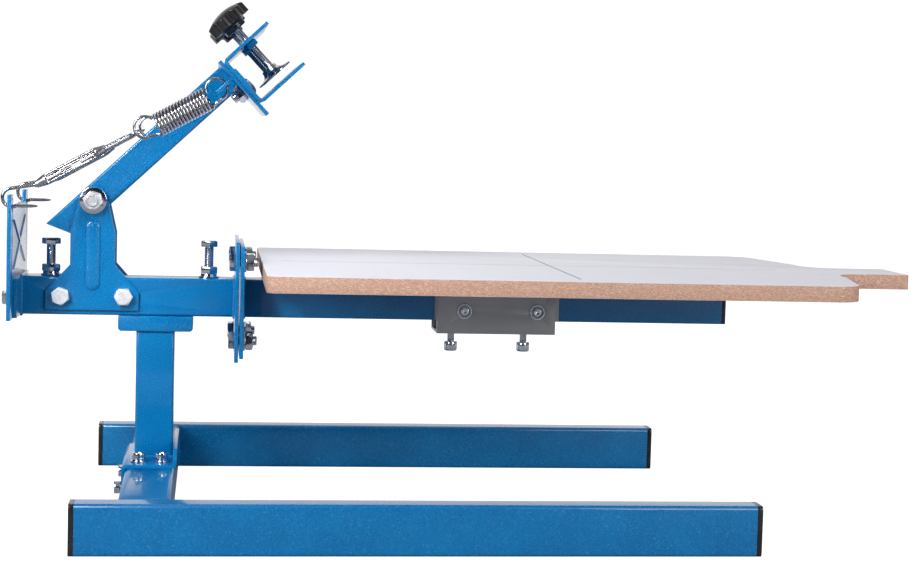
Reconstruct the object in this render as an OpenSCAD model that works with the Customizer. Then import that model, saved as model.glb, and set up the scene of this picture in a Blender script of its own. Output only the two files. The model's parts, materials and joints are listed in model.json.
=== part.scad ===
// Tabletop screen printing press with one swing arm and one pallet.
// The origin is the point of the bench straight below the post's axis.
// X runs along the press towards the operator, Y away from the near side, Z up.

/* [Base] */
// Length of each foot along the press, end caps included
foot_length = 665; // [600:1:760]
// Height of the foot and cross tubes
base_height = 50; // [44:1:60]
// Depth of each foot tube across the press
foot_depth = 30; // [25:1:40]
// Overall width across both feet
base_width = 530; // [450:1:600]
// Width of the cross tube
cross_width = 50; // [46:1:60]
// Wall of the base tubes
base_wall = 2; // [1.5:0.1:3]
// Corner radius of the base tubes
base_corner = 4; // [3.5:0.1:5]
// Distance from the post's axis back to the rear ends of the feet
foot_rear_reach = 71.5; // [60:0.5:90]
// Thickness of the plastic end caps outside the tube
cap_thick = 5; // [3:0.5:6]
// Depth of the caps' plugs inside the tube
cap_plug = 10; // [6:1:16]

/* [Post] */
// Side of the square post, main beam and pallet arm tubes
tube_size = 40; // [38:0.5:44]
// Wall of the square tubes
tube_wall = 2; // [1.5:0.1:2.5]
// Corner radius of the square tubes
tube_corner = 3; // [2.6:0.1:4]
// Height of the beam's underside above the bench
beam_bottom = 203.5; // [190:0.5:230]
// Thickness of the bent foot bracket under the post
foot_plate = 4; // [3:0.5:5]
// Length of the foot bracket across the press
foot_plate_length = 140; // [130:1:160]
// Height of the foot bracket's front lip above the cross tube
foot_lip = 21; // [16:0.5:28]
// Depth of the foot bracket's rear lip below the cross tube's top
foot_skirt = 35; // [30:0.5:40]
// Thickness of the saddle between post and beam
saddle_wall = 3; // [2:0.5:4]
// Length of the saddle along the beam
saddle_length = 78; // [66:1:90]
// Depth of the saddle's side flanges
saddle_depth = 13; // [11:0.5:20]

/* [Beam] */
// Distance from the post's axis back to the beam's rear flange
beam_rear = 139; // [130:1:150]
// Distance from the post's axis forward to the beam's front plate
beam_front = 82; // [78:1:92]
// Thickness of the beam's end flange and the back plate
rear_plate = 4; // [3:0.5:5]
// Width of the back plate across the press
back_width = 184; // [180:1:200]
// Height of the back plate's lower edge above the bench
back_bottom = 203; // [196:0.5:206]
// Height of the back plate's spring tabs above the bench
back_top = 330; // [329:0.5:334]
// Width of each spring tab
tab_width = 24; // [20:1:28]
// Height of each spring tab above the plate's notched edge
tab_height = 12; // [8:0.5:16]

/* [Bolted front joint] */
// Thickness of the beam's front plate and the pallet arm's plate
front_plate = 4; // [3:0.5:5]
// Height of the beam's front plate
beam_plate_height = 124; // [118:1:140]
// Height of the pallet arm's plate
arm_plate_height = 116; // [112:1:130]
// Width of both plates across the press
front_width = 150; // [140:1:170]
// Gap that the weld beads leave between the two plates
plate_gap = 1.2; // [0.6:0.1:2]
// Distance between the joint's bolts, up and down
plate_bolt_rise = 82; // [74:1:84]
// Distance between the joint's bolts, across
plate_bolt_span = 110; // [100:1:116]

/* [Hinge] */
// Distance from the post's axis back to the hinge pivot
pivot_back = 66; // [62:0.5:72]
// Height of the hinge pivot above the beam's top
pivot_rise = 80; // [76:0.5:84]
// Thickness of the two hinge side plates
hinge_plate = 3; // [2.5:0.5:4]
// Half width of the hinge plates where they bolt to the beam
hinge_foot_half = 48; // [46:0.5:52]
// Half width of the hinge plates' necks
hinge_neck_half = 23; // [21:0.5:25]
// Radius of the hinge plates' rounded tops
hinge_lobe = 15; // [14.6:0.2:17]
// Distance between the hinge plates' two beam bolts
hinge_bolt_span = 65; // [60:1:70]
// Angle of the swing arm above level at rest
arm_angle = 43.5; // [40:0.5:47]

/* [Swing arm] */
// Width of the swing arm tube across the press
arm_width = 38; // [36:0.5:38.6]
// Depth of the swing arm tube
arm_depth = 30; // [28:0.5:32]
// Distance from the pivot to the arm's end plate
arm_reach = 191; // [186:1:200]
// Distance from the pivot to the tip of the tail
tail_reach = 52.5; // [50:0.5:56]
// How far the tail's cut leans back
tail_lean = 14.4; // [12:0.2:18]
// Thickness of the arm's end plate
end_plate = 4; // [3:0.5:5]
// Width of the end plate across the press
end_plate_width = 190; // [186:1:200]
// Distance from the arm's axis down to the end plate's lower edge
end_plate_drop = 54; // [50:0.5:55]
// Distance from the arm's axis up to the end plate's upper edge
end_plate_rise = 18; // [16:0.5:19]

/* [Screen clamp] */
// Length of the clamp channel across the press
clamp_length = 210; // [204:1:260]
// Sheet thickness of the clamp channel
clamp_sheet = 3.5; // [3:0.5:4]
// Reach of the channel's flanges from the end plate
clamp_reach = 60; // [58:1:68]
// Distance from the arm's axis up to the channel's upper face
clamp_top = 16; // [15:0.5:18]
// Distance from the arm's axis down to the channel's lower face
clamp_bottom = 42; // [40:0.5:44]
// Outer bend radius of the channel
clamp_bend = 6; // [5:0.5:8]
// Distance from each clamp screw to the press's centre plane
clamp_screw_side = 76; // [70:1:80]
// Distance from the end plate's front face to the clamp screws
clamp_screw_reach = 33; // [31:1:37]
// Diameter of the clamp screws
clamp_screw_d = 8; // [7:0.5:9]
// Diameter over the lobes of the star knobs
knob_d = 46; // [40:1:50]
// Height of the star knobs
knob_height = 23.5; // [20:0.5:27]
// Diameter of the clamp screws' swivel feet
clamp_foot_d = 37; // [30:1:38]

/* [Springs] */
// Distance from each spring to the press's centre plane
spring_side = 80; // [78:1:82]
// Wire of the two springs
spring_wire = 3.1; // [2.7:0.1:3.1]
// Mean radius of the coils
spring_radius = 11; // [10.4:0.1:11.4]
// Turns in the coil body
spring_turns = 16; // [13:1:17]
// Distance from one turn to the next
spring_pitch = 3.6; // [3.6:0.05:3.8]
// Mean radius of the springs' end loops
loop_radius = 11; // [10.6:0.1:11.6]

/* [Turnbuckles] */
// Mean radius of the hook that goes through the back plate's tab
hook_radius = 9.3; // [9:0.1:10]
// Diameter of the hook's and the eye's wire
hook_wire = 3.6; // [3.2:0.1:4]
// Outer width of the turnbuckle body
body_width = 12; // [11:0.5:14]
// Distance from the hook's centre to the body's rear end
body_start = 27.5; // [26:0.5:29]
// Length of the turnbuckle body
body_length = 79; // [72:1:82]
// Diameter of the threaded rods
rod_d = 5; // [4:0.5:6]

/* [Pallet] */
// Length of the pallet from its rear edge to the neck's tip
pallet_length = 700; // [640:1:740]
// Width of the pallet across the press
pallet_width = 450; // [400:1:480]
// Thickness of the board, its white faces included
pallet_thick = 16; // [12:0.5:20]
// Distance from the post's axis to the pallet's rear edge
pallet_rear = 110; // [109:0.5:120]
// Length of the neck with its shoulders
neck_length = 138; // [120:1:160]
// Half width of the neck at its tip
neck_half = 44; // [38:1:60]
// Length of the shoulders' slope
shoulder_length = 50; // [40:1:60]
// Distance from the post's axis to the pallet arm's end, cap included
pallet_arm_end = 613; // [560:1:640]
// Sheet thickness of the pallet's two brackets
bracket_sheet = 3; // [2:0.5:3.5]
// Length of the pallet's bracket along the arm
bracket_length = 134; // [126:1:150]
// Distance from the post's axis to the bracket's rear end
bracket_rear = 294.5; // [280:0.5:300]
// Gap under the pallet arm inside the clip
clip_gap = 10.5; // [10:0.5:16]

/* [Hidden] */
$fn = 64;

// Shares of lengths
half_share = 1 / 2;
tenth_share = 1 / 10;
fifth_share = 1 / 5;
third_share = 1 / 3;
flare_share = 3 / 4;

// One overrun for every cut
over = 2;

// Fits: seats that stay apart, running fits, loose holes and plugs
seat = 0.3;
run_fit = 0.05;
bolt_fit = 0.1;
hole_fit = 0.4;

// Metric fasteners: diameter, width across the flats, head and nut height
m10_d = 10;
m10_flats = 17;
m10_head = 6.4;
m10_nut = 8;
m12_d = 12;
m12_flats = 18;
m12_nut = 9.5;
m8_d = 8;
m8_cap_d = 13;
m8_cap = 8;
m8_socket = 6;
m8_socket_depth = 4;
m8_washer_d = 16;
m8_washer = 1.6;
m10_washer_d = 21;
m10_washer = 2;
m12_washer_d = 28;
m12_washer = 2.5;
m8_flats = 13;
m8_head = 5.3;
m8_flange_d = 17;
m8_flange = 2.4;
thread_end = 4;

// Base
foot_y = base_width / 2 - foot_depth;
foot_rear_x = -foot_rear_reach;
foot_front_x = foot_length - foot_rear_reach;
cross_shift = 2.5;
cross_rear_x = -cross_shift - cross_width / 2;
cross_front_x = cross_rear_x + cross_width;
cap_rim = 2.5;

// Foot bracket and its screws
bracket_rear_x = cross_rear_x - foot_plate;
bend_inner = 1;
bracket_bend = foot_plate + bend_inner;
bracket_front_x = tube_size / 2 + bracket_bend;
bracket_screw_side = 50;
bracket_screw_half = 12;
bracket_screw_length = 16;
skirt_screw_drop = 23;
post_bottom = base_height + foot_plate;
post_top = beam_bottom - saddle_wall;

// Beam and plates
beam_top = beam_bottom + tube_size;
beam_mid = beam_bottom + tube_size / 2;
rear_flange_x = -beam_rear - rear_plate;
back_plate_x = rear_flange_x - rear_plate;
back_mid_x = back_plate_x + rear_plate / 2;
back_bolt_side = 53;
rear_flange_width = 130;
back_rib_width = 11;
back_rib_rise = 1.5;
back_rib_lift = 10;
back_rib_drop = 14;
front_plate_x = beam_front;
arm_plate_x = beam_front + front_plate + plate_gap;
pallet_arm_x = arm_plate_x + front_plate;

// Stop bolts
rear_stop_x = -110;
front_stop_x = 54.5;
stop_head_rise = 33;
stop_bolt_length = 58;
stop_washer = 1.8;
stop_lock = 2.2;
stop_gap = seat * tenth_share;

// Hinge
pivot_x = -pivot_back;
pivot_z = beam_top + pivot_rise;
hinge_in = tube_size / 2;
hinge_out = hinge_in + hinge_plate;
hinge_foot_inset = 5.5;
hinge_foot_rise = 5;
hinge_neck_rise = 13;
hinge_taper_share = 0.575;
hinge_foot_bottom = beam_bottom + hinge_foot_inset;
hinge_foot_top = beam_mid + hinge_foot_rise;
hinge_neck_z = beam_top + hinge_neck_rise;
hinge_taper_z = beam_top + pivot_rise * hinge_taper_share;
hinge_corner = 4;
rib_width = 16;
rib_rise = 2.5;
rib_drop = 6;
rib_top_share = 0.645;
rib_bottom_z = beam_top - rib_drop;
rib_top_z = beam_top + pivot_rise * rib_top_share;
hinge_bolt_z = beam_mid;
sleeve_d = 18;
pivot_end = 3;

// Swing arm and what it carries, in the arm's own axes: u along it, v across it
arm_wall = 2;
arm_corner = 2.6;
plate_u = arm_reach;
web_u = arm_reach + end_plate;
web_front_u = web_u + clamp_sheet;
pad_rise = 1.5;
pad_low = -24;
pad_high = 2;
channel_bolt_side = 45;
channel_bolt_v = -20;
clamp_u = web_u + clamp_screw_reach;
clamp_inner_top = clamp_top - clamp_sheet;
clamp_inner_bottom = -clamp_bottom + clamp_sheet;
clamp_nut = 6.5;
clamp_nut_flats = 13;
clamp_foot_gap = 8.5;
clamp_foot_low = clamp_inner_bottom + clamp_foot_gap;
clamp_foot_neck = 12;
clamp_foot_flare = 9;
clamp_foot_lip = 1.8;
clamp_foot_collar = 4;
foot_socket = 6;
knob_gap = 14;
knob_low = clamp_top + knob_gap;
knob_dome = 6;
knob_core = 36;
knob_lobe = 16;
knob_hub = 24;
knob_hub_share = 0.3;
knob_lobes = 6;
ear_thick = 3;
ear_width = 28;
ear_reach = 21;
ear_v = -3.5;
ear_hole = 9;
ear_hole_in = 6.5;
ear_play = 1;

// Line of pull from the hook's centre to the ear's hole
hook_shift = 1.5;
hook_drop = 3;
hook_x = back_mid_x + hook_shift;
hook_z = back_top - hook_drop;
ear_wire_u = arm_reach - ear_hole_in - (ear_hole - spring_wire) / 2 + ear_play;
pull_x = pivot_x + ear_wire_u * cos(arm_angle) - ear_v * sin(arm_angle) - hook_x;
pull_z = pivot_z + ear_wire_u * sin(arm_angle) + ear_v * cos(arm_angle) - hook_z;
pull_angle = atan2(pull_z, pull_x);
pull_length = norm([pull_x, pull_z]);
tab_hole = 9;
hook_inner = hook_radius - hook_wire / 2;
hook_off = rear_plate / 2 + hook_shift;
tab_hole_top = hook_z - sqrt(hook_inner * hook_inner - hook_off * hook_off) + seat;
tab_hole_z = tab_hole_top - tab_hole / 2;

// Springs, along the line of pull
coil_length = spring_turns * spring_pitch;
coil_drop = 4;
loop_out = 1;
far_loop = pull_length - loop_radius;
coil_end = far_loop - loop_radius - loop_out;
coil_start = coil_end - coil_length;
near_loop = coil_start - loop_radius - loop_out;
near_wire = near_loop - loop_radius;

// Turnbuckles, along the line of pull
eye_inner = 3.4;
eye_wire = 3;
eye_radius = eye_inner + eye_wire / 2;
eye_s = near_wire + spring_wire / 2 + seat - eye_inner;
body_end = body_start + body_length;
body_bar = 3;
body_depth = 7;
collar = 12;
collar_tip = 7.4;
eye_rod_length = 56;
hook_rod_share = 0.566;
eye_rod_start = eye_s - eye_radius - eye_rod_length;
hook_rod_end = body_start + (eye_rod_start - body_start) * hook_rod_share;
hook_tip = 22;
hook_knee = hook_wire + seat * fifth_share;
tip_point = 6;

// Pallet, its bracket and its clip
pallet_arm_cap = 4;
bracket_in = tube_size / 2 + seat;
bracket_out = bracket_in + bracket_sheet;
bracket_top = beam_top + seat + bracket_sheet;
bracket_inset = 1;
bracket_drop = beam_bottom + bracket_inset;
pallet_bottom = bracket_top;
pallet_top = pallet_bottom + pallet_thick;
clip_in = bracket_out;
clip_out = clip_in + bracket_sheet;
clip_shift = 2;
clip_trim = 4;
clip_bottom = beam_bottom - clip_gap - bracket_sheet;
clip_top = bracket_top - bracket_sheet;
clip_screw_drop = 10.7;
clip_head_d = 14;
clip_head = 10;
clip_screw_z = clip_bottom - clip_screw_drop;
clip_screw_shares = [0.153, 0.7425];
side_screw_shares = [0.235, 0.821];
clip_screw_rear_x = bracket_rear + bracket_length * clip_screw_shares[0];
clip_screw_front_x = bracket_rear + bracket_length * clip_screw_shares[1];
side_screw_rear_x = bracket_rear + bracket_length * side_screw_shares[0];
side_screw_front_x = bracket_rear + bracket_length * side_screw_shares[1];
side_screw_lift = 10.7;
side_screw_z = beam_bottom + side_screw_lift;
side_screw_head = 16.5;
side_screw_rise = 2.5;
side_screw_d = 6;
board_screw_d = 5;
board_screw_head = 10;
board_screw_depth = 12;
board_screw_side = 12;
board_corner = 8;
shoulder_radius = 30;
neck_fillet = 36;
shoulder_half = neck_half + neck_fillet + board_corner * 2;
neck_corner = 4;

// Shared shapes

// Rectangle centred on the origin with round corners
module round_rect(w, h, r) {
    square([w - 2 * r, h], center = true);
    square([w, h - 2 * r], center = true);
    for (x = [-1, 1], y = [-1, 1])
        translate([x * (w / 2 - r), y * (h / 2 - r)])
            circle(r);
}

// Hollow section of a tube
module tube_section(w, h, r, wall) {
    difference() {
        round_rect(w, h, r);
        round_rect(w - 2 * wall, h - 2 * wall, r - wall);
    }
}

// Places a shape drawn in X and Y, and drawn out along Z, so that it runs along X
module along_x(x) {
    translate([x, 0, 0])
        rotate([90, 0, 90])
            children();
}

// Places a shape drawn in X and Z, so that it runs along Y from y
module along_y(y) {
    translate([0, y, 0])
        rotate([-90, 0, 0])
            mirror([0, 1, 0])
                children();
}

// Copies a shape to both sides of the centre plane
module both_sides(y) {
    for (side = [-1, 1])
        translate([0, side * y, 0])
            children();
}

// Hexagon with the given width across its flats
module hexagon(flats, height) {
    cylinder(d = flats / cos(30), h = height, $fn = 6);
}

// Ring with its bore, such as a washer
module ring(outer, inner, height) {
    difference() {
        cylinder(d = outer, h = height);
        translate([0, 0, -over])
            cylinder(d = inner, h = height + 2 * over);
    }
}

// Hexagon nut with its bore
module nut(flats, bore, height) {
    difference() {
        hexagon(flats, height);
        translate([0, 0, -over])
            cylinder(d = bore, h = height + 2 * over);
    }
}

// Bolt: head above the origin's plane, shank below it
module hex_bolt(flats, head, d, length) {
    hexagon(flats, head);
    translate([0, 0, -length])
        cylinder(d = d, h = length);
}

// Socket head screw: head above the origin's plane, shank below it
module cap_screw(head_d, head, d, length, socket, socket_depth) {
    difference() {
        cylinder(d = head_d, h = head);
        translate([0, 0, head - socket_depth])
            hexagon(socket, socket_depth + over);
    }
    translate([0, 0, -length])
        cylinder(d = d, h = length);
}

// The arm's own axes: u along X and v along Z, turned up about the pivot
module arm_frame() {
    translate([pivot_x, 0, pivot_z])
        rotate([0, -arm_angle, 0])
            children();
}

// The line of pull: s along X from the hook's centre, on one side of the press
module pull_frame(side) {
    translate([hook_x, side * spring_side, hook_z])
        rotate([0, -pull_angle, 0])
            children();
}

// Base

module foot(y) {
    along_x(foot_rear_x + cap_thick)
        translate([y + foot_depth / 2, base_height / 2, 0])
            linear_extrude(foot_length - 2 * cap_thick)
                tube_section(foot_depth, base_height, base_corner, base_wall);
}

module foot_near() {
    color("royalblue")
        foot(-base_width / 2);
}

module foot_far() {
    color("royalblue")
        foot(foot_y);
}

module cross_tube() {
    color("royalblue")
        difference() {
            translate([(cross_rear_x + cross_front_x) / 2, 0, base_height / 2])
                along_y(-foot_y)
                    linear_extrude(2 * foot_y)
                        tube_section(cross_width, base_height, base_corner, base_wall);
            foot_bracket_bores(m8_d + 2 * bolt_fit);
        }
}

// End cap whose plate closes the tube and whose plug goes into it
module end_cap(w, h, corner, wall, plate, plug) {
    linear_extrude(plate)
        round_rect(w, h, corner);
    translate([0, 0, plate])
        linear_extrude(plug)
            tube_section(w - 2 * wall - 2 * bolt_fit, h - 2 * wall - 2 * bolt_fit,
                corner - wall - bolt_fit, corner - wall - 2 * bolt_fit);
}

module foot_caps() {
    color("black")
        for (y = [-base_width / 2 + foot_depth / 2, base_width / 2 - foot_depth / 2]) {
            along_x(foot_rear_x)
                translate([y, base_height / 2, 0])
                    end_cap(foot_depth, base_height, base_corner, base_wall, cap_thick, cap_plug);
            translate([foot_front_x, y, base_height / 2])
                mirror([1, 0, 0])
                    along_x(0)
                        end_cap(foot_depth, base_height, base_corner, base_wall, cap_thick, cap_plug);
        }
}

// Post

// Bores for the six screws of the foot bracket
module foot_bracket_bores(d) {
    for (x = [-1, 1])
        both_sides(bracket_screw_side)
            translate([x * bracket_screw_half - cross_shift, 0, post_bottom - bracket_screw_length - over])
                cylinder(d = d, h = bracket_screw_length + 2 * over);
    both_sides(bracket_screw_side)
        translate([bracket_rear_x - over, 0, base_height - skirt_screw_drop])
            rotate([0, 90, 0])
                cylinder(d = d, h = bracket_screw_length + over);
}

// Quarter of a bend whose centre is the origin, in the quadrant that the signs give
module bend_quarter(outer, wall, sx, sz) {
    intersection() {
        difference() {
            circle(outer);
            circle(outer - wall);
        }
        translate([sx > 0 ? 0 : -outer, sz > 0 ? 0 : -outer])
            square(outer);
    }
}

// Section of the foot bracket in X and Z: skirt, seat and lip of one bent plate
module bracket_section() {
    top = base_height + foot_plate;
    translate([bracket_rear_x + bracket_bend, base_height])
        square([bracket_front_x - bracket_rear_x - 2 * bracket_bend, foot_plate]);
    translate([bracket_rear_x, base_height - foot_skirt])
        square([foot_plate, foot_skirt + foot_plate - bracket_bend]);
    translate([bracket_rear_x + bracket_bend, top - bracket_bend])
        bend_quarter(bracket_bend, foot_plate, -1, 1);
    translate([bracket_front_x - foot_plate, base_height + bracket_bend])
        square([foot_plate, foot_lip - bracket_bend]);
    translate([bracket_front_x - bracket_bend, base_height + bracket_bend])
        bend_quarter(bracket_bend, foot_plate, 1, -1);
}

module foot_bracket() {
    color("royalblue")
        difference() {
            along_y(-foot_plate_length / 2)
                linear_extrude(foot_plate_length)
                    bracket_section();
            foot_bracket_bores(m8_d + 2 * bolt_fit);
        }
}

module foot_bracket_screws() {
    color("silver") {
        for (x = [-1, 1])
            both_sides(bracket_screw_side)
                translate([x * bracket_screw_half - cross_shift, 0, post_bottom + m8_washer])
                    cap_screw(m8_cap_d, m8_cap, m8_d, bracket_screw_length, m8_socket, m8_socket_depth);
        both_sides(bracket_screw_side)
            translate([bracket_rear_x, 0, base_height - skirt_screw_drop])
                rotate([0, -90, 0])
                    cap_screw(m8_cap_d, m8_cap, m8_d, bracket_screw_length - over, m8_socket, m8_socket_depth);
    }
}

module foot_bracket_washers() {
    color("silver")
        for (x = [-1, 1])
            both_sides(bracket_screw_side)
                translate([x * bracket_screw_half - cross_shift, 0, post_bottom])
                    ring(m8_washer_d, m8_d + 2 * bolt_fit, m8_washer);
}

module post() {
    color("royalblue")
        translate([0, 0, post_bottom])
            linear_extrude(post_top - post_bottom)
                tube_section(tube_size, tube_size, tube_corner, tube_wall);
}

module saddle() {
    color("royalblue") {
        translate([-saddle_length / 2, -hinge_in - saddle_wall - seat, post_top])
            cube([saddle_length, 2 * (hinge_in + saddle_wall + seat), saddle_wall]);
        for (side = [-1, 1])
            along_y(side * (hinge_in + seat + saddle_wall / 2) - saddle_wall / 2)
                linear_extrude(saddle_wall) {
                    translate([-saddle_length / 2, post_top - saddle_depth + hinge_corner])
                        square([saddle_length, saddle_depth - hinge_corner]);
                    translate([-saddle_length / 2 + hinge_corner, post_top - saddle_depth])
                        square([saddle_length - 2 * hinge_corner, hinge_corner]);
                    for (x = [-1, 1])
                        translate([x * (saddle_length / 2 - hinge_corner), post_top - saddle_depth + hinge_corner])
                            circle(hinge_corner);
                }
    }
}

// Beam

module beam() {
    color("royalblue")
        difference() {
            along_x(-beam_rear)
                translate([0, beam_mid, 0])
                    linear_extrude(beam_rear + beam_front)
                        tube_section(tube_size, tube_size, tube_corner, tube_wall);
            hinge_bolt_bores(m10_d + 2 * bolt_fit);
            for (x = [rear_stop_x, front_stop_x])
                translate([x, 0, beam_mid])
                    cylinder(d = m10_d + 2 * run_fit, h = tube_size);
        }
}

// Bores for the back plate's two bolts
module back_bores(d) {
    both_sides(back_bolt_side)
        translate([back_plate_x - over, 0, beam_mid])
            rotate([0, 90, 0])
                cylinder(d = d, h = 2 * rear_plate + 2 * over);
}

module beam_rear_flange() {
    color("royalblue")
        difference() {
            translate([rear_flange_x, -rear_flange_width / 2, beam_bottom])
                cube([rear_plate, rear_flange_width, tube_size]);
            back_bores(m8_d + 2 * bolt_fit);
        }
}

module back_plate() {
    color("royalblue")
        difference() {
            union() {
                along_x(back_plate_x)
                    linear_extrude(rear_plate)
                        difference() {
                            translate([-back_width / 2, back_bottom])
                                square([back_width, back_top - back_bottom]);
                            translate([-back_width / 2 + tab_width, back_top - tab_height])
                                square([back_width - 2 * tab_width, tab_height + over]);
                        }
                back_cross_rib();
            }
            back_bores(m8_d + 2 * bolt_fit);
            both_sides(spring_side)
                translate([back_plate_x - over, 0, tab_hole_z])
                    rotate([0, 90, 0])
                        cylinder(d = tab_hole, h = rear_plate + 2 * over);
        }
}

// Two crossed ribs pressed forward out of the back plate, above the beam
module back_cross_rib() {
    rib_low = beam_top + back_rib_lift;
    rib_high = back_top - tab_height - back_rib_drop;
    rib_half = back_width / 2 - tab_width;
    along_x(rear_flange_x - over * tenth_share)
        linear_extrude(back_rib_rise + over * tenth_share)
            for (side = [-1, 1])
                polygon([
                    [-side * rib_half, rib_low],
                    [side * (rib_half - back_rib_width), rib_high],
                    [side * rib_half, rib_high],
                    [-side * (rib_half - back_rib_width), rib_low]]);
}

// Flanged bolts that screw into the beam's rear flange
module back_plate_bolts() {
    color("silver")
        both_sides(back_bolt_side)
            translate([back_plate_x, 0, beam_mid])
                rotate([0, -90, 0]) {
                    cylinder(d = m8_flange_d, h = m8_flange);
                    translate([0, 0, m8_flange])
                        hex_bolt(m8_flats, m8_head, m8_d, m8_flange + 2 * rear_plate);
                }
}

// Bolted front joint

// Places its child at the joint's four bolts, with Z turned to point forward
module at_plate_bolts(x) {
    for (z = [-1, 1])
        both_sides(plate_bolt_span / 2)
            translate([x, 0, beam_mid + z * plate_bolt_rise / 2])
                rotate([0, 90, 0])
                    children();
}

// Plate across the end of a tube, with four bolt holes
module joint_plate(x, height) {
    difference() {
        translate([x, -front_width / 2, beam_mid - height / 2])
            cube([front_plate, front_width, height]);
        at_plate_bolts(x - over)
            cylinder(d = m10_d + 2 * bolt_fit, h = front_plate + 2 * over);
    }
}

module beam_front_plate() {
    color("royalblue")
        joint_plate(front_plate_x, beam_plate_height);
}

module pallet_arm_plate() {
    color("royalblue")
        joint_plate(arm_plate_x, arm_plate_height);
}

module front_joint_bolts() {
    bolt_reach = 2 * front_plate + plate_gap + m10_washer + m10_nut + thread_end;
    color("silver")
        at_plate_bolts(front_plate_x)
            mirror([0, 0, 1])
                hex_bolt(m10_flats, m10_head, m10_d, bolt_reach);
}

module front_joint_washers() {
    color("silver")
        at_plate_bolts(pallet_arm_x)
            ring(m10_washer_d, m10_d + 2 * bolt_fit, m10_washer);
}

module front_joint_nuts() {
    color("silver")
        at_plate_bolts(pallet_arm_x + m10_washer)
            nut(m10_flats, m10_d + 2 * run_fit, m10_nut);
}

// Hinge

// Outline of a hinge plate in X and Z
module hinge_outline() {
    lobe_tangent = asin((hinge_neck_half - hinge_lobe) / (pivot_z - hinge_taper_z));
    polygon([
        [-hinge_foot_half, hinge_foot_bottom],
        [hinge_foot_half, hinge_foot_bottom],
        [hinge_foot_half, hinge_foot_top],
        [hinge_neck_half, hinge_neck_z],
        [hinge_neck_half, hinge_taper_z],
        [hinge_lobe * cos(lobe_tangent), pivot_z + hinge_lobe * sin(lobe_tangent)],
        [-hinge_lobe * cos(lobe_tangent), pivot_z + hinge_lobe * sin(lobe_tangent)],
        [-hinge_neck_half, hinge_taper_z],
        [-hinge_neck_half, hinge_neck_z],
        [-hinge_foot_half, hinge_foot_top]]);
    translate([0, pivot_z])
        circle(hinge_lobe);
}

// Bores through the beam for the hinge plates' bolts
module hinge_bolt_bores(d) {
    for (x = [-1, 1])
        translate([pivot_x + x * hinge_bolt_span / 2, -hinge_out - over, hinge_bolt_z])
            rotate([-90, 0, 0])
                cylinder(d = d, h = 2 * hinge_out + 2 * over);
}

// Side plate of the hinge whose pressed rib faces away from the beam
module hinge_side(side) {
    difference() {
        union() {
            translate([pivot_x, 0, 0])
                along_y(side * (hinge_in + hinge_plate / 2) - hinge_plate / 2)
                    linear_extrude(hinge_plate)
                        hinge_outline();
            translate([pivot_x, 0, 0])
                along_y(side * (hinge_out + rib_rise / 2) - rib_rise / 2)
                    linear_extrude(rib_rise) {
                        translate([-rib_width / 2, rib_bottom_z])
                            square([rib_width, rib_top_z - rib_bottom_z]);
                        for (z = [rib_bottom_z, rib_top_z])
                            translate([0, z])
                                circle(rib_width / 2);
                    }
        }
        hinge_bolt_bores(m10_d + 2 * bolt_fit);
        translate([pivot_x, -hinge_out - over, pivot_z])
            rotate([-90, 0, 0])
                cylinder(d = m12_d + 2 * run_fit, h = 2 * hinge_out + 2 * over);
    }
}

module hinge_plate_near() {
    color("royalblue")
        hinge_side(-1);
}

module hinge_plate_far() {
    color("royalblue")
        hinge_side(1);
}

module hinge_plate_bolts() {
    color("silver")
        for (x = [-1, 1])
            translate([pivot_x + x * hinge_bolt_span / 2, -hinge_out, hinge_bolt_z])
                rotate([90, 0, 0])
                    hex_bolt(m10_flats, m10_head, m10_d, 2 * hinge_out + m10_nut + 2);
}

module hinge_plate_nuts() {
    color("silver")
        for (x = [-1, 1])
            translate([pivot_x + x * hinge_bolt_span / 2, hinge_out, hinge_bolt_z])
                rotate([-90, 0, 0])
                    nut(m10_flats, m10_d + 2 * run_fit, m10_nut);
}

module pivot_bolt() {
    bolt_reach = 2 * hinge_out + 2 * m12_washer + m12_nut + pivot_end;
    color("silver")
        translate([pivot_x, hinge_out + m12_washer, pivot_z])
            rotate([-90, 0, 0])
                hex_bolt(m12_flats, m12_nut - 2, m12_d, bolt_reach);
}

module pivot_washers() {
    color("silver")
        for (side = [-1, 1])
            translate([pivot_x, side * (hinge_out + m12_washer / 2), pivot_z])
                rotate([90, 0, 0])
                    translate([0, 0, -m12_washer / 2])
                        ring(m12_washer_d, m12_d + 2 * run_fit, m12_washer);
}

module pivot_nut() {
    color("silver")
        translate([pivot_x, -hinge_out - m12_washer, pivot_z])
            rotate([90, 0, 0])
                nut(m12_flats, m12_d + 2 * run_fit, m12_nut);
}

// Stop bolts

module stop_bolt(x) {
    color("silver")
        translate([x, 0, beam_top + stop_head_rise])
            hex_bolt(m10_flats, m10_head, m10_d - 2 * run_fit, stop_bolt_length);
}

module rear_stop_bolt() {
    stop_bolt(rear_stop_x);
}

module front_stop_bolt() {
    stop_bolt(front_stop_x);
}

module stop_nuts() {
    color("silver")
        for (x = [rear_stop_x, front_stop_x])
            translate([x, 0, beam_top + stop_washer + stop_lock])
                nut(m10_flats, m10_d + 2 * run_fit, m10_nut);
}

module stop_washers() {
    color("silver")
        for (x = [rear_stop_x, front_stop_x])
            translate([x, 0, beam_top]) {
                ring(m10_washer_d, m10_d + 2 * bolt_fit, stop_washer);
                translate([0, 0, stop_washer])
                    ring(m10_flats, m10_d + 2 * bolt_fit, stop_lock);
            }
}

// Pallet arm, pallet and bracket

module pallet_arm() {
    color("royalblue")
        along_x(pallet_arm_x)
            translate([0, beam_mid, 0])
                linear_extrude(pallet_arm_end - pallet_arm_cap - pallet_arm_x)
                    tube_section(tube_size, tube_size, tube_corner, tube_wall);
}

module pallet_arm_cap() {
    color("black")
        translate([pallet_arm_end, 0, beam_mid])
            mirror([1, 0, 0])
                along_x(0)
                    end_cap(tube_size, tube_size, tube_corner, tube_wall, pallet_arm_cap, cap_plug);
}

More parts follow.
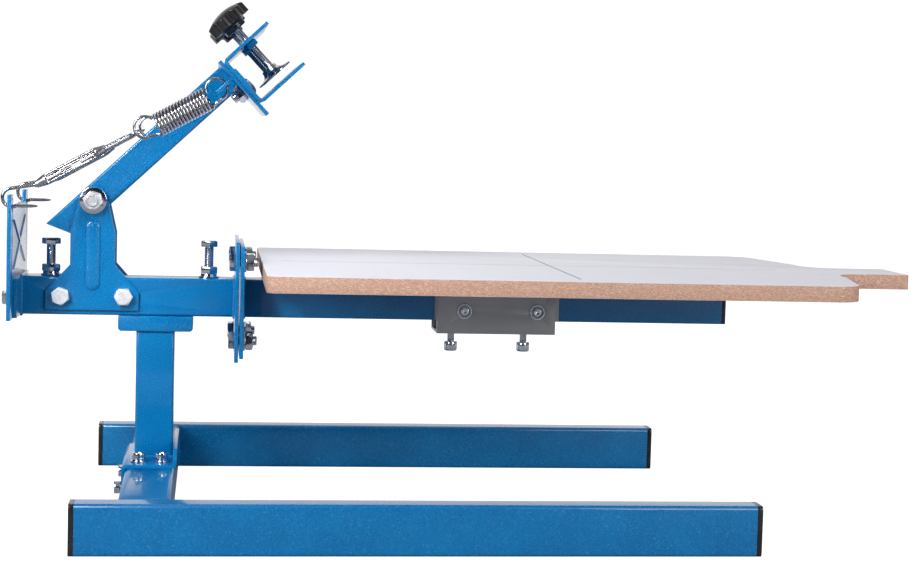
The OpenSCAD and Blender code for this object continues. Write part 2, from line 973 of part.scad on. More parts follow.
// Outline of the pallet: a shirt board with rounded shoulders and a neck
module pallet_outline() {
    shoulder_x = pallet_length - neck_length;
    neck_x = shoulder_x + shoulder_length;
    half = pallet_width / 2;
    difference() {
        union() {
            translate([board_corner, -half])
                square([shoulder_x - board_corner, pallet_width]);
            translate([0, -half + board_corner])
                square([shoulder_x, pallet_width - 2 * board_corner]);
            for (y = [-1, 1])
                translate([board_corner, y * (half - board_corner)])
                    circle(board_corner);
            polygon([
                [shoulder_x - over, -half + shoulder_radius],
                [shoulder_x + shoulder_radius, -half + shoulder_radius],
                [neck_x, -shoulder_half],
                [neck_x, shoulder_half],
                [shoulder_x + shoulder_radius, half - shoulder_radius],
                [shoulder_x - over, half - shoulder_radius]]);
            for (y = [-1, 1])
                translate([shoulder_x, y * (half - shoulder_radius)])
                    circle(shoulder_radius);
            polygon([
                [neck_x - over, -shoulder_half],
                [neck_x + neck_fillet, -shoulder_half],
                [neck_x + neck_fillet, shoulder_half],
                [neck_x - over, shoulder_half]]);
            translate([neck_x, -neck_half])
                square([pallet_length - neck_x - neck_corner, 2 * neck_half]);
            translate([neck_x, -neck_half + neck_corner])
                square([pallet_length - neck_x, 2 * (neck_half - neck_corner)]);
            for (y = [-1, 1])
                translate([pallet_length - neck_corner, y * (neck_half - neck_corner)])
                    circle(neck_corner);
        }
        for (y = [-1, 1])
            translate([neck_x + neck_fillet, y * (neck_half + neck_fillet)]) {
                circle(neck_fillet);
                translate([-neck_fillet, y > 0 ? 0 : -shoulder_half])
                    square([2 * neck_fillet, shoulder_half]);
            }
    }
}

module pallet_board() {
    color("whitesmoke")
        difference() {
            translate([pallet_rear, 0, pallet_bottom])
                linear_extrude(pallet_thick)
                    pallet_outline();
            at_board_screws(pallet_bottom)
                translate([0, 0, -over])
                    cylinder(d = board_screw_d, h = board_screw_depth + over);
        }
}

// The four screws that hold the board to its bracket
module at_board_screws(z) {
    for (x = [0, 1])
        both_sides(board_screw_side)
            translate([bracket_rear + board_screw_head + x * (bracket_length - 2 * board_screw_head), 0, z])
                children();
}

module pallet_screws() {
    color("silver")
        at_board_screws(pallet_bottom - bracket_sheet) {
            cylinder(d1 = board_screw_head, d2 = board_screw_d, h = bracket_sheet);
            translate([0, 0, bracket_sheet - seat * tenth_share])
                cylinder(d = board_screw_d, h = board_screw_depth);
        }
}

// Bores across both brackets for the side screws
module side_screw_bores(d) {
    for (x = [side_screw_rear_x, side_screw_front_x], side = [-1, 1])
        translate([x, side * (bracket_in + bracket_sheet), side_screw_z])
            rotate([90, 0, 0])
                translate([0, 0, -bracket_sheet - over])
                    cylinder(d = d, h = 2 * (bracket_sheet + over));
}

module pallet_bracket() {
    color("dimgray")
        difference() {
            union() {
                translate([bracket_rear, -bracket_out, bracket_top - bracket_sheet])
                    cube([bracket_length, 2 * bracket_out, bracket_sheet]);
                for (side = [-1, 1])
                    translate([bracket_rear, side * (bracket_in + bracket_sheet / 2) - bracket_sheet / 2,
                            bracket_drop])
                        cube([bracket_length, bracket_sheet, bracket_top - bracket_drop]);
            }
            side_screw_bores(side_screw_d + 2 * bolt_fit);
            at_board_screws(bracket_top - bracket_sheet) {
                translate([0, 0, -over])
                    cylinder(d = board_screw_head, h = over + seat * tenth_share);
                cylinder(d1 = board_screw_head, d2 = board_screw_d, h = bracket_sheet + seat * tenth_share);
            }
        }
}

module bracket_clip() {
    clip_x = bracket_rear + clip_shift;
    clip_length = bracket_length - clip_shift - clip_trim;
    color("gray")
        difference() {
            union() {
                translate([clip_x, -clip_out, clip_bottom])
                    cube([clip_length, 2 * clip_out, bracket_sheet]);
                for (side = [-1, 1])
                    translate([clip_x, side * (clip_in + bracket_sheet / 2) - bracket_sheet / 2, clip_bottom])
                        cube([clip_length, bracket_sheet, clip_top - clip_bottom]);
            }
            side_screw_bores(side_screw_d + 2 * bolt_fit);
            for (x = [clip_screw_rear_x, clip_screw_front_x])
                translate([x, 0, clip_bottom - over])
                    cylinder(d = m8_d + 2 * run_fit, h = bracket_sheet + 2 * over);
        }
}

module bracket_side_screws() {
    color("silver")
        for (x = [side_screw_rear_x, side_screw_front_x], side = [-1, 1])
            translate([x, side * clip_out, side_screw_z])
                rotate([-side * 90, 0, 0]) {
                    difference() {
                        cylinder(d = side_screw_head, h = side_screw_rise);
                        translate([0, 0, side_screw_rise / 2])
                            hexagon(side_screw_d, side_screw_rise);
                    }
                    translate([0, 0, -2 * bracket_sheet])
                        cylinder(d = side_screw_d, h = 2 * bracket_sheet);
                }
}

// Screw from below that presses against the pallet arm
module clip_screw(x) {
    clip_screw_length = beam_bottom - seat - clip_screw_z;
    color("silver")
        translate([x, 0, clip_screw_z])
            mirror([0, 0, 1])
                cap_screw(clip_head_d, clip_head, m8_d, clip_screw_length, m8_socket, m8_socket_depth);
}

module clip_screw_rear() {
    clip_screw(clip_screw_rear_x);
}

module clip_screw_front() {
    clip_screw(clip_screw_front_x);
}

// Swing arm

module swing_arm() {
    color("royalblue")
        arm_frame()
            difference() {
                along_x(-tail_reach)
                    linear_extrude(tail_reach + arm_reach)
                        tube_section(arm_width, arm_depth, arm_corner, arm_wall);
                along_y(-arm_width / 2 - over)
                    linear_extrude(arm_width + 2 * over)
                        polygon([
                            [-tail_reach - over, arm_depth / 2],
                            [-tail_reach, arm_depth / 2],
                            [-tail_reach + tail_lean, -arm_depth / 2],
                            [-tail_reach + tail_lean, -arm_depth / 2 - over],
                            [-tail_reach - over, -arm_depth / 2 - over]]);
                rotate([90, 0, 0])
                    translate([0, 0, -arm_width / 2 - over])
                        cylinder(d = sleeve_d, h = arm_width + 2 * over);
            }
}

module pivot_sleeve() {
    sleeve_half = hinge_in - seat;
    color("dimgray")
        arm_frame()
            rotate([90, 0, 0])
                translate([0, 0, -sleeve_half])
                    ring(sleeve_d, m12_d + 2 * run_fit, 2 * sleeve_half);
}

// Places its child at the channel's two bolts, with Z turned to point forward
module at_channel_bolts(u) {
    both_sides(channel_bolt_side)
        translate([u, 0, channel_bolt_v])
            rotate([0, 90, 0])
                children();
}

module arm_end_plate() {
    color("royalblue")
        arm_frame()
            difference() {
                translate([plate_u, -end_plate_width / 2, -end_plate_drop])
                    cube([end_plate, end_plate_width, end_plate_drop + end_plate_rise]);
                at_channel_bolts(plate_u - over)
                    cylinder(d = m10_d + 2 * bolt_fit, h = end_plate + 2 * over);
            }
}

module spring_ears() {
    color("royalblue")
        arm_frame()
            both_sides(spring_side)
                difference() {
                    translate([plate_u - ear_reach, -ear_width / 2, ear_v - ear_thick / 2])
                        cube([ear_reach, ear_width, ear_thick]);
                    translate([plate_u - ear_hole_in, 0, ear_v - ear_thick / 2 - over])
                        cylinder(d = ear_hole, h = ear_thick + 2 * over);
                }
}

// Section of the clamp channel in u and v
module channel_section() {
    tip_u = web_u + clamp_reach;
    height = clamp_top + clamp_bottom;
    inner_bend = clamp_bend - clamp_sheet;
    intersection() {
        translate([web_u, -clamp_bottom])
            square([clamp_reach, height]);
        translate([web_u + clamp_reach, (clamp_top - clamp_bottom) / 2])
            difference() {
                round_rect(2 * clamp_reach, height, clamp_bend);
                round_rect(2 * (clamp_reach - clamp_sheet), height - 2 * clamp_sheet, inner_bend);
            }
    }
    translate([web_front_u - seat, pad_low])
        square([pad_rise + seat, pad_high - pad_low]);
}

module clamp_channel() {
    color("royalblue")
        arm_frame()
            difference() {
                along_y(-clamp_length / 2)
                    linear_extrude(clamp_length)
                        channel_section();
                at_channel_bolts(web_u - over)
                    cylinder(d = m10_d + 2 * bolt_fit, h = clamp_sheet + pad_rise + 2 * over);
                both_sides(clamp_screw_side)
                    translate([clamp_u, 0, clamp_inner_top - over])
                        cylinder(d = clamp_screw_d + 2 * hole_fit, h = clamp_sheet + 2 * over);
            }
}

module channel_bolts() {
    head = 4;
    tail = m10_nut + end_plate + clamp_sheet + pad_rise + thread_end;
    color("silver")
        arm_frame()
            at_channel_bolts(web_front_u + pad_rise) {
                cylinder(d = 2 * m10_d, h = head);
                translate([0, 0, -tail])
                    cylinder(d = m10_d, h = tail);
            }
}

module channel_nuts() {
    color("silver")
        arm_frame()
            at_channel_bolts(plate_u - m10_nut)
                nut(m10_flats, m10_d + 2 * run_fit, m10_nut);
}

module clamp_nuts() {
    color("royalblue")
        arm_frame()
            both_sides(clamp_screw_side)
                translate([clamp_u, 0, clamp_inner_top - clamp_nut])
                    nut(clamp_nut_flats, clamp_screw_d + 2 * run_fit, clamp_nut);
}

// Screw from the socket of its foot up into its knob
module clamp_screw(side) {
    screw_low = clamp_foot_low + clamp_foot_flare + clamp_foot_lip - foot_socket + seat;
    color("silver")
        arm_frame()
            translate([clamp_u, side * clamp_screw_side, screw_low])
                cylinder(d = clamp_screw_d, h = knob_low + knob_height * half_share - screw_low);
}

// Knob with round lobes under one low dome, on a hub
module star_knob() {
    rim = knob_d / 2;
    dome_r = (rim * rim + knob_dome * knob_dome) / (2 * knob_dome);
    lobe_low = knob_height * knob_hub_share;
    cylinder(d = knob_hub, h = lobe_low + over);
    intersection() {
        translate([0, 0, lobe_low])
            linear_extrude(knob_height) {
                circle(d = knob_core);
                for (i = [0:knob_lobes - 1])
                    rotate(i * 360 / knob_lobes)
                        translate([(knob_d - knob_lobe) / 2, 0])
                            circle(d = knob_lobe);
            }
        translate([0, 0, knob_height - dome_r])
            sphere(dome_r);
    }
}

// Star knob with a blind bore for its screw
module clamp_knob(side) {
    color("black")
        arm_frame()
            translate([clamp_u, side * clamp_screw_side, knob_low])
                difference() {
                    star_knob();
                    translate([0, 0, -over])
                        cylinder(d = clamp_screw_d + 2 * run_fit, h = knob_height * half_share + over + seat * tenth_share);
                }
}

module clamp_screw_near() {
    clamp_screw(-1);
}

module clamp_screw_far() {
    clamp_screw(1);
}

module clamp_knob_near() {
    clamp_knob(-1);
}

module clamp_knob_far() {
    clamp_knob(1);
}

// Flared foot with a socket that holds the screw's end
module clamp_foot(side) {
    neck_z = clamp_foot_lip + clamp_foot_flare;
    color("silver")
        arm_frame()
            translate([clamp_u, side * clamp_screw_side, clamp_foot_low])
                difference() {
                    rotate_extrude()
                        polygon([
                            [0, clamp_foot_lip],
                            [clamp_foot_d / 2 - clamp_foot_lip, 0],
                            [clamp_foot_d / 2, clamp_foot_lip / 2],
                            [clamp_foot_d / 2, clamp_foot_lip],
                            [clamp_foot_neck * flare_share, clamp_foot_lip + clamp_foot_flare * half_share],
                            [clamp_foot_neck / 2, neck_z],
                            [0, neck_z]]);
                    translate([0, 0, neck_z - foot_socket])
                        cylinder(d = clamp_screw_d + 2 * run_fit, h = foot_socket + over);
                }
}

module clamp_foot_near() {
    clamp_foot(-1);
}

module clamp_foot_far() {
    clamp_foot(1);
}

// Springs

// Points of one spring's wire along the line of pull: loop, coil, loop.
// The coil lies a little lower than the line through the loops.
ring_steps = 8;
loop_steps = 20;
near_loop_open = 250;
far_loop_open = 262;

// Loop in the plane of s and e, between two angles
function loop_points(centre, from, to) = [
    for (i = [0:loop_steps])
        let (a = from + (to - from) * i / loop_steps)
            [centre + loop_radius * cos(a), loop_radius * sin(a), 0]];

function coil_points() = [
    for (i = [1:spring_turns * ring_steps - 1])
        let (a = -90 + 360 * i / ring_steps)
            [coil_start + spring_pitch * i / ring_steps, spring_radius * sin(a) - coil_drop, spring_radius * cos(a)]];

// Quarter bend between a loop's straight run and the coil, on the coil's side that way points to
function bend_points(s, way) = [
    [s - way * 2 * loop_out, -(loop_radius + spring_radius + coil_drop) / 2, way * loop_out / 2],
    [s, -spring_radius - coil_drop, way * spring_wire]];

// Straight run at a loop's open end, one wire diameter long
function straight_end(a, b) = a + spring_wire * (a - b) / norm(a - b);

function spring_points() =
    let (
        first = loop_points(near_loop, -90 - near_loop_open, -90),
        last = loop_points(far_loop, -90, -90 + far_loop_open),
        into = bend_points(coil_start, 1),
        out = bend_points(coil_end, -1))
    concat([straight_end(first[0], first[1])], first, into, coil_points(),
        [out[1], out[0]], last, [straight_end(last[loop_steps], last[loop_steps - 1])]);

// Sweep of a round wire along points, as one closed tube
function unit(v) = v / norm(v);
function tangent(p, i) =
    unit(p[min(i + 1, len(p) - 1)] - p[max(i - 1, 0)]);
function carried(p) = [
    for (i = 0, n = unit(cross(tangent(p, 0), [0, 0.3, 1]));
        i < len(p);
        i = i + 1,
        n = i < len(p) ? unit(n - (n * tangent(p, i)) * tangent(p, i)) : n)
        n];

module wire(points, d, sides) {
    normals = carried(points);
    count = len(points);
    verts = [
        for (i = [0:count - 1])
            let (t = tangent(points, i), b = cross(t, normals[i]))
                for (k = [0:sides - 1])
                    points[i] + (normals[i] * cos(360 * k / sides) + b * sin(360 * k / sides)) * d / 2];
    walls = [
        for (i = [0:count - 2], k = [0:sides - 1])
            let (a = i * sides + k, b = i * sides + (k + 1) % sides)
                each [[a, b, a + sides], [b, b + sides, a + sides]]];
    first_cap = [for (k = [1:sides - 2]) [0, k + 1, k]];
    last = (count - 1) * sides;
    last_cap = [for (k = [1:sides - 2]) [last, last + k, last + k + 1]];
    polyhedron(verts, concat(walls, first_cap, last_cap));
}

// Least gap between parts of the wire that are not next to each other
wire_points = spring_points();
skip_steps = 6;
least_gap = min([
    for (i = [0:len(wire_points) - skip_steps - 1], j = [i + skip_steps:len(wire_points) - 1])
        norm(wire_points[i] - wire_points[j])]) - spring_wire;
echo(spring_least_gap = least_gap);

module spring(side) {
    color("silver")
        pull_frame(side)
            rotate([90, 0, 0])
                wire(wire_points, spring_wire, 6);
}

module spring_near() {
    spring(-1);
}

module spring_far() {
    spring(1);
}

// Turnbuckles

// Hook: shank, arc round the tab's top and through its hole, pointed tip
module hook(side) {
    hook_bend = acos(hook_radius / body_start);
    arc_start = pull_angle + hook_bend;
    arc_end = 300;
    shank_x = body_start * cos(pull_angle);
    shank_z = body_start * sin(pull_angle);
    color("silver")
        translate([hook_x, side * spring_side, hook_z]) {
            rotate([90, 0, 0])
                rotate([0, 0, arc_start])
                    rotate_extrude(angle = arc_end - arc_start)
                        translate([hook_radius, 0])
                            circle(d = hook_wire);
            translate([hook_radius * cos(arc_start), 0, hook_radius * sin(arc_start)])
                sphere(d = hook_knee);
            rod_between([hook_radius * cos(arc_start), hook_radius * sin(arc_start)], [shank_x, shank_z]);
            translate([shank_x, 0, shank_z])
                sphere(d = hook_knee);
            translate([hook_radius * cos(arc_end), 0, hook_radius * sin(arc_end)]) {
                sphere(d = hook_knee);
                rotate([0, 90, 0]) {
                    cylinder(d = hook_wire, h = hook_tip - tip_point);
                    translate([0, 0, hook_tip - tip_point])
                        cylinder(d1 = hook_wire, d2 = hook_wire * third_share, h = tip_point);
                }
            }
            rotate([0, -pull_angle, 0])
                translate([body_start, 0, 0])
                    rotate([0, 90, 0])
                        cylinder(d = rod_d, h = hook_rod_end - body_start);
        }
}

// Straight round wire between two points in X and Z
module rod_between(a, b) {
    along = b - a;
    translate([a[0], 0, a[1]])
        rotate([0, 90 - atan2(along[1], along[0]), 0])
            cylinder(d = hook_wire, h = norm(along));
}

module hook_near() {
    hook(-1);
}

module hook_far() {
    hook(1);
}

// Body: two collars joined by two bars
module turnbuckle(side) {
    color("silver")
        pull_frame(side)
            difference() {
                union() {
                    for (z = [-1, 1])
                        translate([body_start + collar * half_share, -body_depth / 2,
                                z * (body_width - body_bar) / 2 - body_bar / 2])
                            cube([body_length - collar, body_depth, body_bar]);
                    translate([body_start, 0, 0])
                        rotate([0, 90, 0])
                            cylinder(d1 = collar_tip, d2 = body_width, h = collar);
                    translate([body_end - collar, 0, 0])
                        rotate([0, 90, 0])
                            cylinder(d1 = body_width, d2 = collar_tip, h = collar);
                }
                translate([body_start - over, 0, 0])
                    rotate([0, 90, 0])
                        cylinder(d = rod_d + 2 * run_fit, h = body_length + 2 * over);
            }
}

module turnbuckle_near() {
    turnbuckle(-1);
}

module turnbuckle_far() {
    turnbuckle(1);
}

// Threaded rod with the ring that the spring's loop goes through
module eye(side) {
    color("silver")
        pull_frame(side) {
            translate([eye_s, 0, 0])
                rotate_extrude()
                    translate([eye_radius, 0])
                        circle(d = eye_wire);
            translate([eye_rod_start, 0, 0])
                rotate([0, 90, 0])
                    cylinder(d = rod_d, h = eye_s - eye_radius - eye_rod_start);
        }
}

module eye_near() {
    eye(-1);
}

module eye_far() {
    eye(1);
}

foot_near();
foot_far();
cross_tube();
foot_caps();
foot_bracket();
foot_bracket_screws();
foot_bracket_washers();
post();
saddle();
beam();
beam_rear_flange();
back_plate();
back_plate_bolts();
beam_front_plate();
hinge_plate_near();
hinge_plate_far();
hinge_plate_bolts();
hinge_plate_nuts();
pivot_bolt();
pivot_washers();
pivot_nut();
rear_stop_bolt();
front_stop_bolt();
stop_nuts();
stop_washers();
front_joint_bolts();
front_joint_washers();
front_joint_nuts();
pallet_arm_plate();
pallet_arm();
pallet_arm_cap();
pallet_board();
pallet_screws();
pallet_bracket();
bracket_clip();
bracket_side_screws();
clip_screw_rear();
clip_screw_front();
swing_arm();
pivot_sleeve();
arm_end_plate();
spring_ears();
clamp_channel();
channel_bolts();
channel_nuts();
clamp_nuts();
clamp_screw_near();
clamp_screw_far();
clamp_knob_near();
clamp_knob_far();
clamp_foot_near();
clamp_foot_far();
spring_near();
spring_far();
turnbuckle_near();
turnbuckle_far();
hook_near();
hook_far();
eye_near();
eye_far();
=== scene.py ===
import json
import math
import bpy
from mathutils import Matrix, Vector

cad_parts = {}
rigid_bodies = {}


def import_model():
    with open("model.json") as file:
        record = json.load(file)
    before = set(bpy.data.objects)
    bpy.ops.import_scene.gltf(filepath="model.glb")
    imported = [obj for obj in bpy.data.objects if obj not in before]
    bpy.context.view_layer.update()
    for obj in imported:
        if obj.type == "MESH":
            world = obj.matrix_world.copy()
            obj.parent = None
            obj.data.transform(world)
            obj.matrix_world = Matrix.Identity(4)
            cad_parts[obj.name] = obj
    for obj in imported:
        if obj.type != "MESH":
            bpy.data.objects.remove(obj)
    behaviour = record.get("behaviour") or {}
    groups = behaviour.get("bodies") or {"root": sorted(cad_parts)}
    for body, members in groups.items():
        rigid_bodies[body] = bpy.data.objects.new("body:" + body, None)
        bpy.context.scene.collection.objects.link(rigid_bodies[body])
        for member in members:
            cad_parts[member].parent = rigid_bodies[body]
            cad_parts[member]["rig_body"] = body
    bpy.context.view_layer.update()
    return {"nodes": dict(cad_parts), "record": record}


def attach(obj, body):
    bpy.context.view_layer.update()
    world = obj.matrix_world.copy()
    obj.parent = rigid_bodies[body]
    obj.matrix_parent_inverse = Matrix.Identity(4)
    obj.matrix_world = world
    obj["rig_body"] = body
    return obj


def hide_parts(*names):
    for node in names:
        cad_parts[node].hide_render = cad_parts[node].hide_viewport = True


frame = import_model()
mm = 0.001
meshing = {"seam": 0.000005, "twinGap": 0.000002, "flatAngle": 1, "creaseAngle": 35, "wireAngle": 40,
           "curveSteps": 5}


# Selecting, placing and finishing

def deselectAll():
    if bpy.context.object and bpy.context.object.mode != "OBJECT":
        bpy.ops.object.mode_set(mode="OBJECT")
    bpy.ops.object.select_all(action="DESELECT")


def useOnly(piece):
    deselectAll()
    piece.select_set(True)
    bpy.context.view_layer.objects.active = piece


def settle(piece):  # the place goes into the mesh
    useOnly(piece)
    bpy.ops.object.transform_apply(location=True, rotation=True, scale=True)


def put(piece, spot, axis=(0, 0, 1), turn=0.0):  # the piece's own Z is laid along the axis
    settle(piece)
    swing = Vector((0, 0, 1)).rotation_difference(Vector(axis).normalized())
    piece.matrix_world = (Matrix.Translation(Vector(spot)) @ swing.to_matrix().to_4x4()
                          @ Matrix.Rotation(turn, 4, "Z"))
    settle(piece)
    return piece


def copyOf(piece):  # a twin with its own mesh
    settle(piece)
    twin = piece.copy()
    twin.data = piece.data.copy()
    bpy.context.scene.collection.objects.link(twin)
    return twin


def joined(pieces, name):
    useOnly(pieces[0])
    for piece in pieces:
        piece.select_set(True)
    if len(pieces) > 1:
        bpy.ops.object.join()
    pieces[0].name = name
    return pieces[0]


def cylinderAt(sides, radius, depth, spot):
    deselectAll()
    bpy.ops.mesh.primitive_cylinder_add(vertices=sides, radius=radius, depth=depth, location=spot)
    return bpy.context.object


def boxAt(size, spot):
    deselectAll()
    bpy.ops.mesh.primitive_cube_add(size=1, location=spot)
    box = bpy.context.object
    box.scale = size
    settle(box)
    return box


def modified(piece, kind, **settings):
    useOnly(piece)
    bpy.ops.object.modifier_add(type=kind)
    step = piece.modifiers[-1]
    for key, value in settings.items():
        setattr(step, key, value)
    bpy.ops.object.modifier_apply(modifier=step.name)
    return piece


def cutBy(piece, tool, way):  # way is INTERSECT, UNION or DIFFERENCE
    modified(piece, "BOOLEAN", object=tool, operation=way, solver="EXACT")
    bpy.data.objects.remove(tool)
    return piece


def softEdges(piece, width, steps=2, over=30, smooth=meshing["creaseAngle"]):
    modified(piece, "BEVEL", width=width, segments=steps, limit_method="ANGLE",
             angle_limit=math.radians(over), loop_slide=False)
    useOnly(piece)
    bpy.ops.object.shade_smooth_by_angle(angle=math.radians(smooth))
    return piece


def melted(piece, voxel, rounds, strength=0.5):  # one soft cast or moulded skin
    modified(piece, "REMESH", mode="VOXEL", voxel_size=voxel)
    modified(piece, "SMOOTH", factor=strength, iterations=rounds)
    useOnly(piece)
    bpy.ops.object.shade_smooth()
    return piece


def outward(piece):  # the mesh is sewn up, and its faces look outwards
    useOnly(piece)
    bpy.ops.object.mode_set(mode="EDIT")
    bpy.ops.mesh.select_all(action="SELECT")
    bpy.ops.mesh.remove_doubles(threshold=meshing["seam"])
    bpy.ops.mesh.normals_make_consistent(inside=False)
    bpy.ops.object.mode_set(mode="OBJECT")
    return piece


def solidOf(node, name):  # a merged copy of a CAD node to shape further
    source = frame["nodes"][node]
    piece = bpy.data.objects.new(name, source.data.copy())
    bpy.context.scene.collection.objects.link(piece)
    useOnly(piece)
    bpy.ops.mesh.customdata_custom_splitnormals_clear()
    bpy.ops.object.mode_set(mode="EDIT")
    bpy.ops.mesh.select_all(action="SELECT")
    bpy.ops.mesh.remove_doubles(threshold=meshing["twinGap"])
    bpy.ops.mesh.dissolve_limited(angle_limit=math.radians(meshing["flatAngle"]))
    bpy.ops.object.mode_set(mode="OBJECT")
    return piece


def coated(piece, *finishes):
    piece.data.materials.clear()
    for finish in finishes:
        piece.data.materials.append(finish)
    return piece


def standFor(piece, finish, *nodes):
    coated(piece, finish)
    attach(piece, frame["nodes"][nodes[0]]["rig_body"])
    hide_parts(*nodes)
    return piece


# Nodes that the paper, the surroundings and the materials share

def feed(links, socket, value):  # the value is another node's socket or a constant
    if isinstance(value, bpy.types.NodeSocket):
        links.new(value, socket)
    else:
        socket.default_value = value


def partsOf(nodes, links, space="Object"):
    place = nodes.new("ShaderNodeTexCoord")
    parts = nodes.new("ShaderNodeSeparateXYZ")
    links.new(place.outputs[space], parts.inputs[0])
    return parts.outputs


def placeOf(nodes, links, stretch=None):
    place = nodes.new("ShaderNodeTexCoord")
    if not stretch:
        return place.outputs["Object"]
    mapping = nodes.new("ShaderNodeMapping")
    mapping.inputs["Scale"].default_value = stretch
    links.new(place.outputs["Object"], mapping.inputs[0])
    return mapping.outputs[0]


def noiseAt(nodes, links, scale, detail=2.0, rough=0.5, stretch=None):
    noise = nodes.new("ShaderNodeTexNoise")
    noise.inputs["Scale"].default_value = scale
    noise.inputs["Detail"].default_value = detail
    noise.inputs["Roughness"].default_value = rough
    links.new(placeOf(nodes, links, stretch), noise.inputs["Vector"])
    return noise.outputs["Fac"]


def stopsOf(look, key="stops"):  # a look's stops name its own colours
    return [(position, look[name]) for position, name in look[key]]


def rampOf(nodes, links, source, stops):
    ramp = nodes.new("ShaderNodeValToRGB")
    ends = ramp.color_ramp.elements
    for end, (position, colour) in zip((ends[0], ends[1]), (stops[0], stops[-1])):
        end.position, end.color = position, (*colour, 1)
    for position, colour in stops[1:-1]:
        ends.new(position).color = (*colour, 1)
    links.new(source, ramp.inputs[0])
    return ramp.outputs[0]


def rangeOf(nodes, links, source, low, high, fromLow=0.3, fromHigh=0.7):
    fit = nodes.new("ShaderNodeMapRange")
    for key, value in (("Value", source), ("From Min", fromLow), ("From Max", fromHigh),
                       ("To Min", low), ("To Max", high)):
        feed(links, fit.inputs[key], value)
    return fit.outputs[0]


def mathsOf(nodes, links, way, *values):
    step = nodes.new("ShaderNodeMath")
    step.operation = way
    for socket, value in zip(step.inputs, values):
        feed(links, socket, value)
    return step.outputs[0]


def mixOf(nodes, links, share, first, second, way="MIX"):
    mix = nodes.new("ShaderNodeMixRGB")
    mix.blend_type = way
    for socket, value in zip(mix.inputs, (share, first, second)):
        feed(links, socket, value)
    return mix.outputs[0]


def bumpFrom(nodes, links, shader, height, strength, depth):
    bump = nodes.new("ShaderNodeBump")
    bump.inputs["Strength"].default_value = strength
    bump.inputs["Distance"].default_value = depth
    links.new(height, bump.inputs["Height"])
    links.new(bump.outputs[0], shader.inputs["Normal"])


def newMaterial(name, **values):
    finish = bpy.data.materials.new(name)
    finish.use_nodes = True
    shader = finish.node_tree.nodes["Principled BSDF"]
    for key, value in values.items():
        shader.inputs[key.replace("_", " ")].default_value = value
    return finish, finish.node_tree.nodes, finish.node_tree.links, shader


# Camera, floor and light

view = {"spot": (0.057, -2.1295, 0.4079), "yaw": 0.125, "pitch": 0.076, "roll": 0.027,
        "lens": 77.9, "sensor": 36, "farthest": 120}


def addCamera():
    yaw, pitch, roll = view["yaw"], view["pitch"], view["roll"]
    ahead = Vector((math.sin(yaw) * math.cos(pitch), math.cos(yaw) * math.cos(pitch), -math.sin(pitch)))
    right = Vector((math.cos(yaw), -math.sin(yaw), 0))
    up = right.cross(ahead)
    side = right * math.cos(roll) + up * math.sin(roll)
    top = up * math.cos(roll) - right * math.sin(roll)
    turn = Matrix((side, top, -ahead)).transposed()
    bpy.ops.object.camera_add(location=view["spot"], rotation=turn.to_euler())
    camera = bpy.context.object
    camera.data.sensor_fit = "HORIZONTAL"
    camera.data.sensor_width = view["sensor"]
    camera.data.lens = view["lens"]
    camera.data.clip_end = view["farthest"]
    bpy.context.scene.camera = camera


paper = {"grey": 0.4, "glow": 0.99, "front": 0.0, "darkUpTo": 0.3, "litFrom": 0.8, "dimmed": 0.8,
         "metresAcross": 80, "middle": (0.3, 0, 0)}
studio = {
    "sky": 1.0, "backdrop": 1.1, "lid": 0.3, "lidBlue": 1.06, "lidRise": (0.45, 0.7),
    "bands": [  # from the camera's side (0) to the backdrop (1)
        (0.0, 0.02), (0.5, 0.05), (0.8, 0.1), (0.92, 0.55), (0.965, 1.0)],
    "flags": [  # from the middle (0) to either side (1)
        (0.0, 1.0), (0.48, 1.0), (0.6, 0.12), (0.82, 0.07), (1.0, 0.05)],
    "lamps": [  # spot, what it faces, size, watts, spread
        ((-2.4, -2.9, 1.8), (0.1, 0, 0.2), 2.2, 106, 180),
        ((2.7, -2.9, 1.5), (0.3, 0, 0.15), 2.0, 92, 180),
        ((-0.75, -1.1, 1.1), (-0.06, 0, 0.34), 0.35, 1.2, 40),
        ((0.2, 0.9, 2.4), (0.2, 0, 0.2), 1.6, 8, 180),
    ],
}


def addFloor():
    deselectAll()
    bpy.ops.mesh.primitive_plane_add(size=paper["metresAcross"], location=paper["middle"])
    floor = bpy.context.object
    floor.name = "floor"
    finish, nodes, links, shader = newMaterial(
        "palePaper", Base_Color=(paper["grey"], paper["grey"], paper["grey"], 1), Roughness=0.9,
        Specular_IOR_Level=0.0, Emission_Color=(1, 1, 1, 1))
    seen = nodes.new("ShaderNodeLightPath")
    behind = rangeOf(nodes, links, partsOf(nodes, links)["Y"], paper["front"], paper["glow"],
                     paper["darkUpTo"], paper["litFrom"])  # lit behind the press and dark before it
    spread = rangeOf(nodes, links, seen.outputs["Is Diffuse Ray"], 1.0, 1 - paper["dimmed"], 0, 1)
    thrown = mathsOf(nodes, links, "MULTIPLY", behind, spread)
    glow = rangeOf(nodes, links, seen.outputs["Is Camera Ray"], thrown, paper["glow"], 0, 1)
    links.new(glow, shader.inputs["Emission Strength"])
    coated(floor, finish)


def greys(stops):
    return [(position, (value, value, value)) for position, value in stops]


